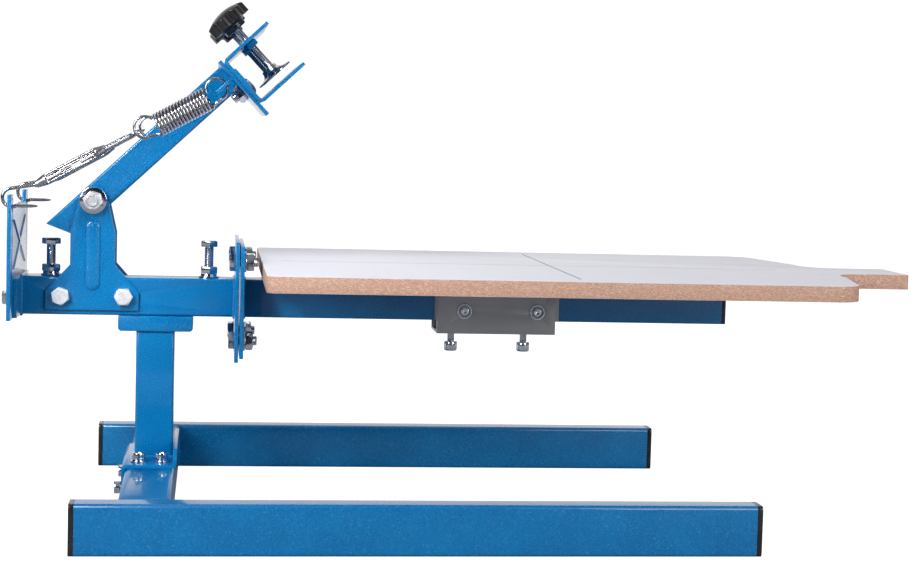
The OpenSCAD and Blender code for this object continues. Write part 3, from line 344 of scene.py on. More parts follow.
def addStudio():
    for spot, aim, size, watts, spread in studio["lamps"]:
        facing = (Vector(aim) - Vector(spot)).to_track_quat("-Z", "Y").to_euler()
        bpy.ops.object.light_add(type="AREA", location=spot, rotation=facing)
        lamp = bpy.context.object
        lamp.data.size = size
        lamp.data.energy = watts
        lamp.data.spread = math.radians(spread)
    world = bpy.data.worlds.new("studio")
    bpy.context.scene.world = world
    world.use_nodes = True
    nodes, links = world.node_tree.nodes, world.node_tree.links
    parts = partsOf(nodes, links, "Generated")
    across = mathsOf(nodes, links, "ABSOLUTE", parts["X"])
    depth = rangeOf(nodes, links, parts["Y"], 0, 1, -1, 1)
    rise = rangeOf(nodes, links, parts["Z"], 0, 1, *studio["lidRise"])
    both = mixOf(nodes, links, 1, rampOf(nodes, links, across, greys(studio["flags"])),
                 rampOf(nodes, links, depth, greys(studio["bands"])), "MULTIPLY")
    softBox = (studio["lid"], studio["lid"], studio["lid"] * studio["lidBlue"], 1)  # wide, overhead
    lit = mixOf(nodes, links, rise, both, softBox)
    seen = nodes.new("ShaderNodeLightPath")
    backdrop = (studio["backdrop"], studio["backdrop"], studio["backdrop"], 1)
    shown = mixOf(nodes, links, seen.outputs["Is Camera Ray"], lit, backdrop)
    links.new(shown, nodes["Background"].inputs["Color"])
    nodes["Background"].inputs["Strength"].default_value = studio["sky"]
    bpy.context.scene.view_settings.view_transform = "Standard"


addCamera()
addFloor()
addStudio()
print("camera and studio set")


# Materials

# paintedGlint is a painted highlight: bright specks in the base colour stand in for the sparkle of the
# hammered finish
paint = {"deep": (0.0, 0.118, 0.32), "face": (0.0, 0.15, 0.385), "paintedGlint": (0.1, 0.34, 0.64),
         "stops": [(0.25, "deep"), (0.45, "face"), (0.64, "face"), (0.76, "paintedGlint")],
         "dim": (0.9, 0.9, 0.92), "lit": (1.06, 1.06, 1.04), "shadeStops": [(0.3, "dim"), (0.7, "lit")],
         "rough": (0.22, 0.36),
         "grain": 700, "cloud": 26, "relief": 0.0005, "strength": 0.55}


def hammeredPaint():
    finish, nodes, links, shader = newMaterial(
        "hammeredPaint", Metallic=0.0, IOR=1.5, Specular_IOR_Level=0.2, Coat_Weight=0.5,
        Coat_Roughness=0.05, Coat_IOR=1.5)
    fine = noiseAt(nodes, links, paint["grain"], rough=0.55)
    broad = noiseAt(nodes, links, paint["cloud"], detail=3.0)
    # the tone carries painted highlight specks from the paintedGlint stop
    tone = rampOf(nodes, links, fine, stopsOf(paint))
    shade = rampOf(nodes, links, broad, stopsOf(paint, "shadeStops"))
    links.new(mixOf(nodes, links, 1, tone, shade, "MULTIPLY"), shader.inputs["Base Color"])
    links.new(rangeOf(nodes, links, fine, *paint["rough"]), shader.inputs["Roughness"])
    bumpFrom(nodes, links, shader, fine, paint["strength"], paint["relief"])
    return finish


metals = {  # grain is the scale of the clouds, scratches the strength of the bump
    "zincPlate": {"tone": (0.66, 0.7, 0.78), "rough": (0.08, 0.18), "grain": 90, "scratches": 0.1},
    # the pale tone of this zinc is painted light: a lit copy of zincPlate for the heads that face the lamps
    "paintedLitZinc": {"tone": (0.9, 0.92, 0.95), "rough": (0.46, 0.6), "grain": 420, "scratches": 0.6},
    "wireSteel": {"tone": (0.52, 0.52, 0.55), "rough": (0.12, 0.2), "grain": 120, "scratches": 0.05},
    "forgedSteel": {"tone": (0.5, 0.5, 0.52), "rough": (0.2, 0.3), "grain": 120, "scratches": 0.1},
}
plating = {"shadow": 0.82, "darkAt": 0.3, "lightAt": 0.62, "scratchScale": 900, "scratchDepth": 0.00001}


def plated(name):
    metal = metals[name]
    finish, nodes, links, shader = newMaterial(name, Metallic=1.0)
    cloud = noiseAt(nodes, links, metal["grain"], detail=4.0, rough=0.6)
    fine = noiseAt(nodes, links, plating["scratchScale"])
    dark = tuple(channel * plating["shadow"] for channel in metal["tone"])
    tone = rampOf(nodes, links, cloud, [(plating["darkAt"], dark), (plating["lightAt"], metal["tone"])])
    links.new(tone, shader.inputs["Base Color"])
    links.new(rangeOf(nodes, links, cloud, *metal["rough"]), shader.inputs["Roughness"])
    bumpFrom(nodes, links, shader, fine, metal["scratches"], plating["scratchDepth"])
    return finish


plastic = {"dark": (0.008, 0.008, 0.009), "light": (0.018, 0.018, 0.02),
           "stops": [(0.3, "dark"), (0.7, "light")], "rough": (0.2, 0.3), "grain": 1100, "cloud": 60,
           "relief": 0.00002, "strength": 0.1}


def mouldedPlastic():
    finish, nodes, links, shader = newMaterial("mouldedPlastic", IOR=1.5)
    grain = noiseAt(nodes, links, plastic["grain"])
    cloud = noiseAt(nodes, links, plastic["cloud"], detail=3.0)
    links.new(rampOf(nodes, links, cloud, stopsOf(plastic)), shader.inputs["Base Color"])
    links.new(rangeOf(nodes, links, cloud, *plastic["rough"]), shader.inputs["Roughness"])
    bumpFrom(nodes, links, shader, grain, plastic["strength"], plastic["relief"])
    return finish


bracket = {"dark": (0.35, 0.35, 0.36), "light": (0.41, 0.41, 0.42),
           "stops": [(0.3, "dark"), (0.7, "light")], "rough": (0.34, 0.5), "rolled": 300,
           "rolling": (0.05, 1, 1), "cloud": 18, "relief": 0.00005, "strength": 0.2}


def bracketSteel():
    finish, nodes, links, shader = newMaterial("bracketSteel", Metallic=0.55)
    rolled = noiseAt(nodes, links, bracket["rolled"], detail=3.0, rough=0.6, stretch=bracket["rolling"])
    cloud = noiseAt(nodes, links, bracket["cloud"], detail=3.0)
    links.new(rampOf(nodes, links, cloud, stopsOf(bracket)), shader.inputs["Base Color"])
    links.new(rangeOf(nodes, links, rolled, *bracket["rough"]), shader.inputs["Roughness"])
    bumpFrom(nodes, links, shader, rolled, bracket["strength"], bracket["relief"])
    return finish


board = {"top": 262.8, "bottom": 246.8, "skin": 0.9, "edge": 0.5, "tilt": 0.3,
         "tan": (0.5, 0.3, 0.22), "light": (0.68, 0.47, 0.36), "dark": (0.33, 0.18, 0.125),
         "chips": 640, "chipShape": (0.6, 0.6, 1.6), "dust": 800, "dustShape": (0.6, 0.6, 1.5),
         "chipStops": [(0.1, "dark"), (0.4, "tan"), (0.6, "tan"), (0.8, "light")],
         "dustStops": [(0.36, "dark"), (0.5, "tan"), (0.64, "light")],
         "dustShare": 0.55, "relief": 0.0003, "strength": 0.6,
         "white": (0.79, 0.79, 0.86), "shade": (0.735, 0.735, 0.805), "streaks": 260,
         "streakStops": [(0.3, "shade"), (0.55, "white"), (0.8, "white")],
         "streakShape": (0.12, 1, 1), "skinRelief": 0.00008, "skinStrength": 0.12,
         "line": (0.12, 0.12, 0.14), "lineWidth": 0.0022, "lineX": (0.132, 0.673),
         "crossX": 0.4203, "crossY": 0.19}


def chipCore():
    finish, nodes, links, shader = newMaterial("chipCore", Roughness=0.85)
    chips = nodes.new("ShaderNodeTexVoronoi")
    chips.inputs["Scale"].default_value = board["chips"]
    chips.inputs["Randomness"].default_value = 1
    links.new(placeOf(nodes, links, board["chipShape"]), chips.inputs["Vector"])  # chips lie flat
    chipTone = rampOf(nodes, links, chips.outputs["Color"], stopsOf(board, "chipStops"))
    dust = noiseAt(nodes, links, board["dust"], rough=0.6, stretch=board["dustShape"])
    dustTone = rampOf(nodes, links, dust, stopsOf(board, "dustStops"))
    links.new(mixOf(nodes, links, board["dustShare"], chipTone, dustTone), shader.inputs["Base Color"])
    bumpFrom(nodes, links, shader, dust, board["strength"], board["relief"])
    return finish


def bandMask(nodes, links, source, centre, half):  # 1 inside the band, 0 outside
    off = mathsOf(nodes, links, "SUBTRACT", source, centre)
    size = mathsOf(nodes, links, "ABSOLUTE", off)
    return mathsOf(nodes, links, "LESS_THAN", size, half)


def ruledLaminate():
    finish, nodes, links, shader = newMaterial("ruledLaminate", Roughness=0.38, IOR=1.5)
    streaks = noiseAt(nodes, links, board["streaks"], detail=4.0, rough=0.65, stretch=board["streakShape"])
    tone = rampOf(nodes, links, streaks, stopsOf(board, "streakStops"))
    parts = partsOf(nodes, links)
    half = board["lineWidth"] / 2
    low, high = board["lineX"]
    along = mathsOf(nodes, links, "MULTIPLY",
                    bandMask(nodes, links, parts["Y"], 0, half),
                    bandMask(nodes, links, parts["X"], (low + high) / 2, (high - low) / 2))
    over = mathsOf(nodes, links, "MULTIPLY",
                   bandMask(nodes, links, parts["X"], board["crossX"], half),
                   bandMask(nodes, links, parts["Y"], 0, board["crossY"]))
    lines = mathsOf(nodes, links, "MAXIMUM", along, over)
    links.new(mixOf(nodes, links, lines, tone, (*board["line"], 1)), shader.inputs["Base Color"])
    bumpFrom(nodes, links, shader, streaks, board["skinStrength"], board["skinRelief"])
    return finish


bluePaint = hammeredPaint()
zincPlate = plated("zincPlate")
paintedLitZinc = plated("paintedLitZinc")  # a paler copy of the zinc whose pale tone is painted light, for the heads that face the light
wireSteel = plated("wireSteel")
forgedSteel = plated("forgedSteel")
blackPlastic = mouldedPlastic()
greySteel = bracketSteel()
core = chipCore()
laminate = ruledLaminate()
bySlot = {"blue": bluePaint, "black_plastic": blackPlastic, "zinc": zincPlate, "spring_steel": wireSteel,
          "grey_steel": greySteel, "board": core}
for entry in frame["record"]["subparts"]:
    mesh = frame["nodes"][entry["node"]].data
    mesh.materials.clear()
    mesh.materials.append(bySlot[entry["material_slot"]])
print("materials set")


# Plates, tubes and caps with softened edges

softNodes = {  # node: edge width in mm
    "foot_near": 0.5, "foot_far": 0.5, "cross_tube": 0.5, "foot_bracket": 0.7, "post": 0.4, "saddle": 0.8,
    "beam": 0.5, "beam_rear_flange": 0.7, "back_plate": 0.9, "beam_front_plate": 0.9,
    "hinge_plate_near": 0.9, "hinge_plate_far": 0.9, "pallet_arm_plate": 0.9, "pallet_arm": 0.5,
    "swing_arm": 0.6, "arm_end_plate": 0.8, "spring_ears": 0.7, "clamp_channel": 0.8,
    "foot_caps": 1.8, "pallet_arm_cap": 1.2, "pallet_bracket": 1.0, "bracket_clip": 1.0,
    "foot_bracket_washers": 0.3, "pivot_washers": 0.5, "front_joint_washers": 0.4, "stop_washers": 0.4,
    "pivot_sleeve": 0.4,
}
slotOf = {entry["node"]: entry["material_slot"] for entry in frame["record"]["subparts"]}
rib = {"x": -66, "half": 8, "face": 22.995, "rise": 2.5, "low": 237.5, "high": 295.1, "split": 0.3,
       "cutter": (300, 20, 300), "cutterZ": 280}


def cutRib(piece, side):  # the flat rib goes, and a round bead takes its place
    middle = (rib["x"] * mm, side * (rib["face"] + rib["cutter"][1] / 2) * mm, rib["cutterZ"] * mm)
    cutBy(piece, boxAt([size * mm for size in rib["cutter"]], middle), "DIFFERENCE")


def ribBead(side):  # a sphere drawn out along Z and pressed flat
    deselectAll()
    bpy.ops.mesh.primitive_uv_sphere_add(segments=48, ring_count=24, radius=rib["half"] * mm)
    bead = bpy.context.object
    bead.name = "ribBead"
    reach = (rib["high"] - rib["low"]) / 2 * mm
    for way in (-1, 1):
        bpy.ops.object.mode_set(mode="EDIT")
        bpy.ops.mesh.select_all(action="DESELECT")
        bpy.ops.object.mode_set(mode="OBJECT")
        for point in bead.data.vertices:
            point.select = way * point.co.z > rib["split"] * mm
        bpy.ops.object.mode_set(mode="EDIT")
        bpy.ops.transform.translate(value=(0, 0, way * reach))
        bpy.ops.object.mode_set(mode="OBJECT")
    bead.scale = (1, rib["rise"] / rib["half"], 1)
    bead.location = (rib["x"] * mm, side * rib["face"] * mm, (rib["low"] + rib["high"]) / 2 * mm)
    settle(bead)
    bpy.ops.object.shade_smooth()
    return bead


for node, width in softNodes.items():
    piece = solidOf(node, node + "_shaped")
    side = -1 if node.endswith("near") else 1
    ribbed = node.startswith("hinge_plate")
    if ribbed:
        cutRib(piece, side)
    softEdges(piece, width * mm)
    if ribbed:
        piece = joined([piece, ribBead(side)], node + "_shaped")
    standFor(piece, bySlot[slotOf[node]], node)
print("plates and tubes softened")


# Fasteners, in mm

def lathed(profile, name, steps=64):  # profile of (radius, height), drawn by extruding and spun about Z
    deselectAll()
    bpy.ops.mesh.primitive_plane_add(size=mm)
    piece = bpy.context.object
    piece.name = name
    bpy.ops.object.mode_set(mode="EDIT")
    bpy.ops.mesh.select_all(action="SELECT")
    bpy.ops.mesh.merge(type="CENTER")
    radius, height = profile[0]
    bpy.ops.transform.translate(value=(radius * mm, 0, height * mm))
    for nextRadius, nextHeight in profile[1:]:
        step = ((nextRadius - radius) * mm, 0, (nextHeight - height) * mm)
        bpy.ops.mesh.extrude_vertices_move(TRANSFORM_OT_translate={"value": step})
        radius, height = nextRadius, nextHeight
    bpy.ops.mesh.select_all(action="SELECT")
    bpy.ops.mesh.spin(steps=steps, angle=2 * math.pi, center=(0, 0, 0), axis=(0, 0, 1))
    bpy.ops.object.mode_set(mode="OBJECT")
    outward(piece)
    bpy.ops.object.shade_smooth_by_angle(angle=math.radians(meshing["creaseAngle"]))
    return piece


thread = {"chamferShare": 0.1, "flat": 0.25, "steps": 24, "sides": 32,
          "sink": 0.7, "ridge": 0.56, "start": 0.6}  # the last three as shares of the pitch


def threadedRod(radius, length, pitch):  # in metres; stands on the origin and runs up Z
    flat = thread["flat"]
    rod = cylinderAt(thread["sides"], radius - pitch * thread["sink"] * flat, length, (0, 0, length / 2))
    softEdges(rod, radius * thread["chamferShare"], 1)
    turns = max(1, int((length - pitch) / pitch))
    deselectAll()
    bpy.ops.mesh.primitive_circle_add(
        vertices=3, radius=pitch * thread["ridge"], fill_type="NOTHING",
        location=(radius - pitch * thread["ridge"], 0, pitch * thread["start"]),
        rotation=(math.pi / 2, math.pi / 2, 0))
    ridge = bpy.context.object
    settle(ridge)
    ridge.scale = (flat, 1, 1)
    ridge.location.x = (1 - flat) * radius
    settle(ridge)
    modified(ridge, "SCREW", axis="Z", angle=2 * math.pi, screw_offset=pitch, iterations=turns,
             steps=thread["steps"], use_smooth_shade=False, use_normal_calculate=True)
    outward(ridge)
    return joined([rod, ridge], "rod")


sizes = {
    "m8": {"flats": 13, "head": 5.3, "nut": 6.5, "radius": 4, "pitch": 1.25},
    "m10": {"flats": 17, "head": 6.4, "nut": 8, "radius": 5, "pitch": 1.5},
    "m10Stop": {"flats": 17, "head": 6.4, "radius": 4.95, "pitch": 1.5},
    "m12": {"flats": 18, "head": 7.5, "nut": 9.5, "radius": 6, "pitch": 1.75},
    "socket": {"headRadius": 6.5, "head": 8, "radius": 4, "pitch": 1.25, "socket": 6},
    "knurled": {"headRadius": 6.8, "head": 10, "radius": 4, "pitch": 1.25, "socket": 6},
    "small": {"headRadius": 4.3, "head": 1.9, "radius": 3, "pitch": 1, "socket": 3.4},
}
hexShape = {"chamferFrom": 0.475, "edge": 0.012, "coneSides": 48}  # shares of the width across the flats
socketShape = {"sides": 72, "edge": 0.06}  # share of the head's radius
hexCorner = math.cos(math.pi / 6)


def hexBlock(flats, height, bothEnds=False):  # stands on the origin and runs up Z
    slope = 1 / math.tan(math.pi / 6)
    top = flats * hexShape["chamferFrom"]
    block = cylinderAt(6, flats / 2 / hexCorner, height, (0, 0, height / 2))
    for flip in ([False, True] if bothEnds else [False]):
        low, high = top + slope * height, top
        if flip:
            low, high = high, low
        deselectAll()
        bpy.ops.mesh.primitive_cone_add(vertices=hexShape["coneSides"], radius1=low, radius2=high,
                                        depth=height, location=(0, 0, height / 2))
        cutBy(block, bpy.context.object, "INTERSECT")
    softEdges(block, flats * hexShape["edge"], over=20, smooth=25)
    return block


def nut(size):
    return hexBlock(sizes[size]["flats"] * mm, sizes[size]["nut"] * mm, True)


def shank(size, length):  # runs down from the origin's plane
    rod = threadedRod(sizes[size]["radius"] * mm, length * mm, sizes[size]["pitch"] * mm)
    return put(rod, (0, 0, -length * mm))


def hexBolt(size, length):  # head above the origin's plane, thread below it
    block = hexBlock(sizes[size]["flats"] * mm, sizes[size]["head"] * mm)
    return joined([block, shank(size, length)], "bolt")


flange = {"high": 2.4, "rim": [(0, 0), (8.5, 0), (8.5, 0.9), (7.2, 1.9), (6.4, 2.4), (0, 2.4)]}


def flangeBolt(size, length):  # hexagon head on its own round flange
    rim = lathed(flange["rim"], "rim", 48)
    bolt = put(hexBolt(size, length), (0, 0, flange["high"] * mm))
    return joined([rim, bolt], "bolt")


def capScrew(size, length):  # round head with a hexagon socket
    head = sizes[size]["head"] * mm
    radius = sizes[size]["headRadius"] * mm
    block = cylinderAt(socketShape["sides"], radius, head, (0, 0, head / 2))
    socket = cylinderAt(6, sizes[size]["socket"] * mm / 2 / hexCorner, head, (0, 0, head))
    cutBy(block, socket, "DIFFERENCE")
    softEdges(block, radius * socketShape["edge"], over=40, smooth=25)
    return joined([block, shank(size, length)], "screw")


def copiesAt(seed, spots, axis, name, turns=None):  # one copy of the seed at each spot
    copies = []
    for spot, turn in zip(spots, turns or [0.0] * len(spots)):
        copies.append(put(copyOf(seed), spot, axis, turn))
    bpy.data.objects.remove(seed)
    return joined(copies, name)


def scatter(seed, spots, axis, name, finish, node, turns=None):  # the group stands for the node
    return standFor(copiesAt(seed, spots, axis, name, turns), finish, node)


def scatterExtra(seed, spots, axis, name, body):  # zinc pieces of a node that another group stands for
    group = coated(copiesAt(seed, spots, axis, name), zincPlate)
    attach(group, body)
    return group


armAngle = math.radians(43.5)
pivot = (-66.0, 323.5)


def onArm(u, y, v):  # u along the arm from its pivot, v across it
    return Vector(((pivot[0] + u * math.cos(armAngle) - v * math.sin(armAngle)) * mm, y * mm,
                   (pivot[1] + u * math.sin(armAngle) + v * math.cos(armAngle)) * mm))


armUp = Vector((-math.sin(armAngle), 0, math.cos(armAngle)))
armOut = Vector((math.cos(armAngle), 0, math.sin(armAngle)))


def at(x, y, z):
    return Vector((x, y, z)) * mm


lengths = {"seat": 15, "skirt": 13, "back": 10.4, "hinge": 56, "pivot": 63.5, "stop": 58, "joint": 23.2,
           "channel": 21, "clip": 23.9, "side": 5}  # of the shanks
seat = {"x": (-14.5, 9.5), "y": (-50, 50), "z": 55.6, "skirtX": -31.5, "skirtZ": 27}
backPlate = {"x": -147, "y": (-53, 53), "z": 223.5}
hingePlates = {"x": (-98.5, -33.5), "z": 223.5, "outer": 23, "pivotOuter": 25.5}
stops = {"rear": -110, "front": 54.5, "boltZ": 276.5, "nutZ": 247.5}
frontJoint = {"corners": [(y, z) for y in (-55, 55) for z in (182.5, 264.5)], "boltX": 82, "nutX": 93.2}
channel = {"y": (-45, 45), "v": -20, "nutU": 183, "boltU": 200,
           "clampU": 228, "clampY": (-76, 76), "clampV": 6}


def addFasteners():
    scatter(capScrew("socket", lengths["seat"]),
            [at(x, y, seat["z"]) for x in seat["x"] for y in seat["y"]],
            (0, 0, 1), "seatScrews", zincPlate, "foot_bracket_screws", turns=[0.2, 0.7, 1.1, 0.4])
    scatterExtra(capScrew("socket", lengths["skirt"]),
                 [at(seat["skirtX"], y, seat["skirtZ"]) for y in seat["y"]],
                 (-1, 0, 0), "skirtScrews", "frame")
    scatter(flangeBolt("m8", lengths["back"]),
            [at(backPlate["x"], y, backPlate["z"]) for y in backPlate["y"]],
            (-1, 0, 0), "backBolts", zincPlate, "back_plate_bolts", turns=[0.3, 0.9])
    near, far = ([at(x, way * hingePlates["outer"], hingePlates["z"]) for x in hingePlates["x"]]
                 for way in (-1, 1))
    # the hinge bolts and nuts and the pivot bolt and nut wear the zinc whose pale tone is painted light
    scatter(hexBolt("m10", lengths["hinge"]), near, (0, -1, 0), "hingeBolts", paintedLitZinc,
            "hinge_plate_bolts", turns=[0.15, 0.52])
    scatter(nut("m10"), far, (0, 1, 0), "hingeNuts", paintedLitZinc, "hinge_plate_nuts", turns=[0.4, 0.1])
    scatter(hexBolt("m12", lengths["pivot"]), [at(pivot[0], hingePlates["pivotOuter"], pivot[1])],
            (0, 1, 0), "pivotBolt", paintedLitZinc, "pivot_bolt", turns=[0.2])
    scatter(nut("m12"), [at(pivot[0], -hingePlates["pivotOuter"], pivot[1])],
            (0, -1, 0), "pivotNut", paintedLitZinc, "pivot_nut", turns=[0.3])
    for side, turn in (("rear", 0.5), ("front", 0.05)):
        scatter(hexBolt("m10Stop", lengths["stop"]), [at(stops[side], 0, stops["boltZ"])],
                (0, 0, 1), side + "StopBolt", zincPlate, side + "_stop_bolt", turns=[turn])
    scatter(nut("m10"), [at(stops[side], 0, stops["nutZ"]) for side in ("rear", "front")],
            (0, 0, 1), "stopNuts", zincPlate, "stop_nuts", turns=[0.35, 0.1])
    scatter(hexBolt("m10", lengths["joint"]),
            [at(frontJoint["boltX"], y, z) for y, z in frontJoint["corners"]],
            (-1, 0, 0), "jointBolts", zincPlate, "front_joint_bolts", turns=[0.1, 0.5, 0.9, 0.3])
    scatter(nut("m10"), [at(frontJoint["nutX"], y, z) for y, z in frontJoint["corners"]],
            (1, 0, 0), "jointNuts", zincPlate, "front_joint_nuts", turns=[0.35, 0.1, 0.6, 0.2])
    scatter(nut("m10"), [onArm(channel["nutU"], y, channel["v"]) for y in channel["y"]],
            armOut, "channelNuts", zincPlate, "channel_nuts", turns=[0.35, 0.1])
    scatter(nut("m8"), [onArm(channel["clampU"], y, channel["clampV"]) for y in channel["clampY"]],
            armUp, "clampNuts", bluePaint, "clamp_nuts", turns=[0.5, 0.15])


addFasteners()
print("fasteners made")


# Springs, hooks, turnbuckles and eyes, along the line of pull: s along it, w across it

hookSpot = (-143.5, 327.0)
pullAngle = math.radians(29.396022)
pull = {"length": 243.704, "side": 80.0, "bodyStart": 27.5, "bodyEnd": 106.5, "rod": 2.5, "pitch": 0.8}
coil = {"loop": 11.0, "wire": 3.1, "radius": 11.0, "pitch": 3.6, "turns": 16, "drop": 4.0, "gap": 1,
        "loopSteps": 22, "perTurn": 8, "lead": 2, "leadY": 0.5,
        "firstLoop": (-340, -90), "lastLoop": (-90, 172)}  # degrees
hook = {"ring": 9.3, "end": 300, "wire": 1.88, "steps": 16, "neck": (-0.12, 0.0, 0.3, 0.6, 0.85),
        "overlap": 2, "rodShare": 0.566,
        "tip": [(3, 1.0), (9, 1.0), (14, 0.97), (18, 0.75), (20.5, 0.5), (22, 0.22)]}  # reach, width
eye = {"ring": 4.9, "wire": 1.5, "length": 56.0, "gap": 0.3, "inner": 3.4, "rodCut": 2,
       "neckWide": 2.45, "neckLong": 3.4, "neckBack": 1.0}
coil["farLoop"] = pull["length"] - coil["loop"]
coil["end"] = coil["farLoop"] - coil["loop"] - coil["gap"]
coil["start"] = coil["end"] - coil["pitch"] * coil["turns"]
coil["nearLoop"] = coil["start"] - coil["loop"] - coil["gap"]
eye["at"] = coil["nearLoop"] - coil["loop"] + coil["wire"] / 2 + eye["gap"] - eye["inner"]
eye["rod"] = eye["at"] - eye["ring"] - eye["length"]
hook["rodEnd"] = pull["bodyStart"] + (eye["rod"] - pull["bodyStart"]) * hook["rodShare"]
pullOut = Vector((math.cos(pullAngle), 0, math.sin(pullAngle)))
pullUp = Vector((-math.sin(pullAngle), 0, math.cos(pullAngle)))


def onPull(s, y, w, side):
    return Vector(((hookSpot[0] + s * math.cos(pullAngle) - w * math.sin(pullAngle)) * mm,
                   (side * pull["side"] + y) * mm,
                   (hookSpot[1] + s * math.sin(pullAngle) + w * math.cos(pullAngle)) * mm))


def bentWire(points, radius, name, widths=None, rounds=4):
    curve = bpy.data.curves.new(name, "CURVE")
    curve.dimensions = "3D"
    curve.bevel_depth = radius
    curve.bevel_resolution = rounds
    curve.resolution_u = meshing["curveSteps"]
    curve.use_fill_caps = True
    run = curve.splines.new("BEZIER")
    run.bezier_points.add(len(points) - 1)
    for index, point in enumerate(points):
        knot = run.bezier_points[index]
        knot.co = point
        knot.handle_left_type = knot.handle_right_type = "AUTO"
        knot.radius = widths[index] if widths else 1.0
    piece = bpy.data.objects.new(name, curve)
    bpy.context.scene.collection.objects.link(piece)
    useOnly(piece)
    bpy.ops.object.convert(target="MESH")
    piece = bpy.context.object
    outward(piece)
    bpy.ops.object.shade_smooth_by_angle(angle=math.radians(meshing["wireAngle"]))
    return piece


def springWire(side):
    ring, radius, wire, drop = coil["loop"], coil["radius"], coil["wire"], coil["drop"]

    def loopRun(centre, start, end):
        steps = coil["loopSteps"]
        angles = [math.radians(start + (end - start) * i / steps) for i in range(steps + 1)]
        return [(centre + ring * math.cos(a), 0, ring * math.sin(a)) for a in angles]

    def coilRun():
        spots = []
        perTurn = coil["perTurn"]
        for i in range(1, coil["turns"] * perTurn):
            a = math.radians(-90 + 360 * i / perTurn)
            spots.append((coil["start"] + coil["pitch"] * i / perTurn, -radius * math.cos(a),
                          radius * math.sin(a) - drop))
        return spots

    def bendRun(s, way):
        return [(s - way * coil["lead"], -way * coil["leadY"], -(ring + radius + drop) / 2),
                (s, -way * wire, -radius - drop)]

    first = loopRun(coil["nearLoop"], *coil["firstLoop"])
    last = loopRun(coil["farLoop"], *coil["lastLoop"])
    into, out = bendRun(coil["start"], 1), bendRun(coil["end"], -1)
    route = first + into + coilRun() + [out[1], out[0]] + last
    return bentWire([onPull(*spot, side) for spot in route], wire / 2 * mm, "springWire", rounds=5)


def hookPiece(side):
    ring, start = hook["ring"], pull["bodyStart"]
    begin = pullAngle + math.acos(ring / start)
    finish = math.radians(hook["end"])

    def spot(x, z):
        return Vector(((hookSpot[0] + x) * mm, side * pull["side"] * mm, (hookSpot[1] + z) * mm))

    foot = (start * math.cos(pullAngle), start * math.sin(pullAngle))
    head = (ring * math.cos(begin), ring * math.sin(begin))
    tip = (ring * math.cos(finish), ring * math.sin(finish))
    points = [spot(foot[0] + (head[0] - foot[0]) * share, foot[1] + (head[1] - foot[1]) * share)
              for share in hook["neck"]]
    for i in range(hook["steps"] + 1):
        a = begin + (finish - begin) * i / hook["steps"]
        points.append(spot(ring * math.cos(a), ring * math.sin(a)))
    widths = [1.0] * len(points)
    for reach, width in hook["tip"]:
        points.append(spot(tip[0] + reach, tip[1]))
        widths.append(width)
    wire = bentWire(points, hook["wire"] * mm, "hookWire", widths)
    rod = threadedRod(pull["rod"] * mm, (hook["rodEnd"] - start + hook["overlap"]) * mm, pull["pitch"] * mm)
    put(rod, onPull(start - hook["overlap"], 0, 0, side), pullOut)
    return joined([wire, rod], "hook")


def eyePiece(side):
    deselectAll()
    bpy.ops.mesh.primitive_torus_add(major_segments=48, minor_segments=16, major_radius=eye["ring"] * mm,
                                     minor_radius=eye["wire"] * mm)
    ring = bpy.context.object
    bpy.ops.object.shade_smooth()
    put(ring, onPull(eye["at"], 0, 0, side), pullUp)
    rod = threadedRod(pull["rod"] * mm, (eye["length"] - eye["rodCut"]) * mm, pull["pitch"] * mm)
    put(rod, onPull(eye["rod"], 0, 0, side), pullOut)
    deselectAll()
    bpy.ops.mesh.primitive_cone_add(vertices=24, radius1=eye["neckWide"] * mm, radius2=eye["wire"] * mm,
                                    depth=eye["neckLong"] * mm)
    neck = bpy.context.object
    bpy.ops.object.shade_smooth_by_angle(angle=math.radians(meshing["wireAngle"]))
    put(neck, onPull(eye["at"] - eye["ring"] - eye["neckBack"], 0, 0, side), pullOut)
    return joined([ring, rod, neck], "eye")


turnbuckle = {"rising": [(3.7, 0), (3.95, 2), (5.6, 9), (6, 13)],  # radius, height
              "window": (6.2, 20), "windowShort": 25, "slab": (20, 10), "slabShort": 22,
              "slabOff": 8.4, "soft": 2.4, "voxel": 0.32, "rounds": 3}


def forgedBody(side):
    length = pull["bodyEnd"] - pull["bodyStart"]
    rising = turnbuckle["rising"]
    falling = [(radius, length - height) for radius, height in reversed(rising)]
    body = lathed([(0, 0)] + rising + falling + [(0, length)], "body", 40)
    cuts = [(turnbuckle["window"], length - turnbuckle["windowShort"], 0)]
    for way in (-1, 1):
        cuts.append((turnbuckle["slab"], length - turnbuckle["slabShort"], way * turnbuckle["slabOff"]))
    for (wide, deep), tall, y in cuts:
        tool = boxAt((wide * mm, deep * mm, tall * mm), (0, y * mm, length / 2 * mm))
        softEdges(tool, turnbuckle["soft"] * mm, 4)
        cutBy(body, tool, "DIFFERENCE")
    melted(body, turnbuckle["voxel"] * mm, turnbuckle["rounds"])
    body.matrix_world = (Matrix.Translation(onPull(pull["bodyStart"], 0, 0, side))
                         @ Matrix((pullUp, (0, 1, 0), pullOut)).transposed().to_4x4())
    settle(body)
    return outward(body)


for word, side in (("near", -1), ("far", 1)):
    standFor(springWire(side), wireSteel, "spring_" + word)
    standFor(hookPiece(side), wireSteel, "hook_" + word)
    standFor(eyePiece(side), wireSteel, "eye_" + word)
    standFor(forgedBody(side), forgedSteel, "turnbuckle_" + word)
print("springs and turnbuckles made")


# Clamp screws, knobs and feet

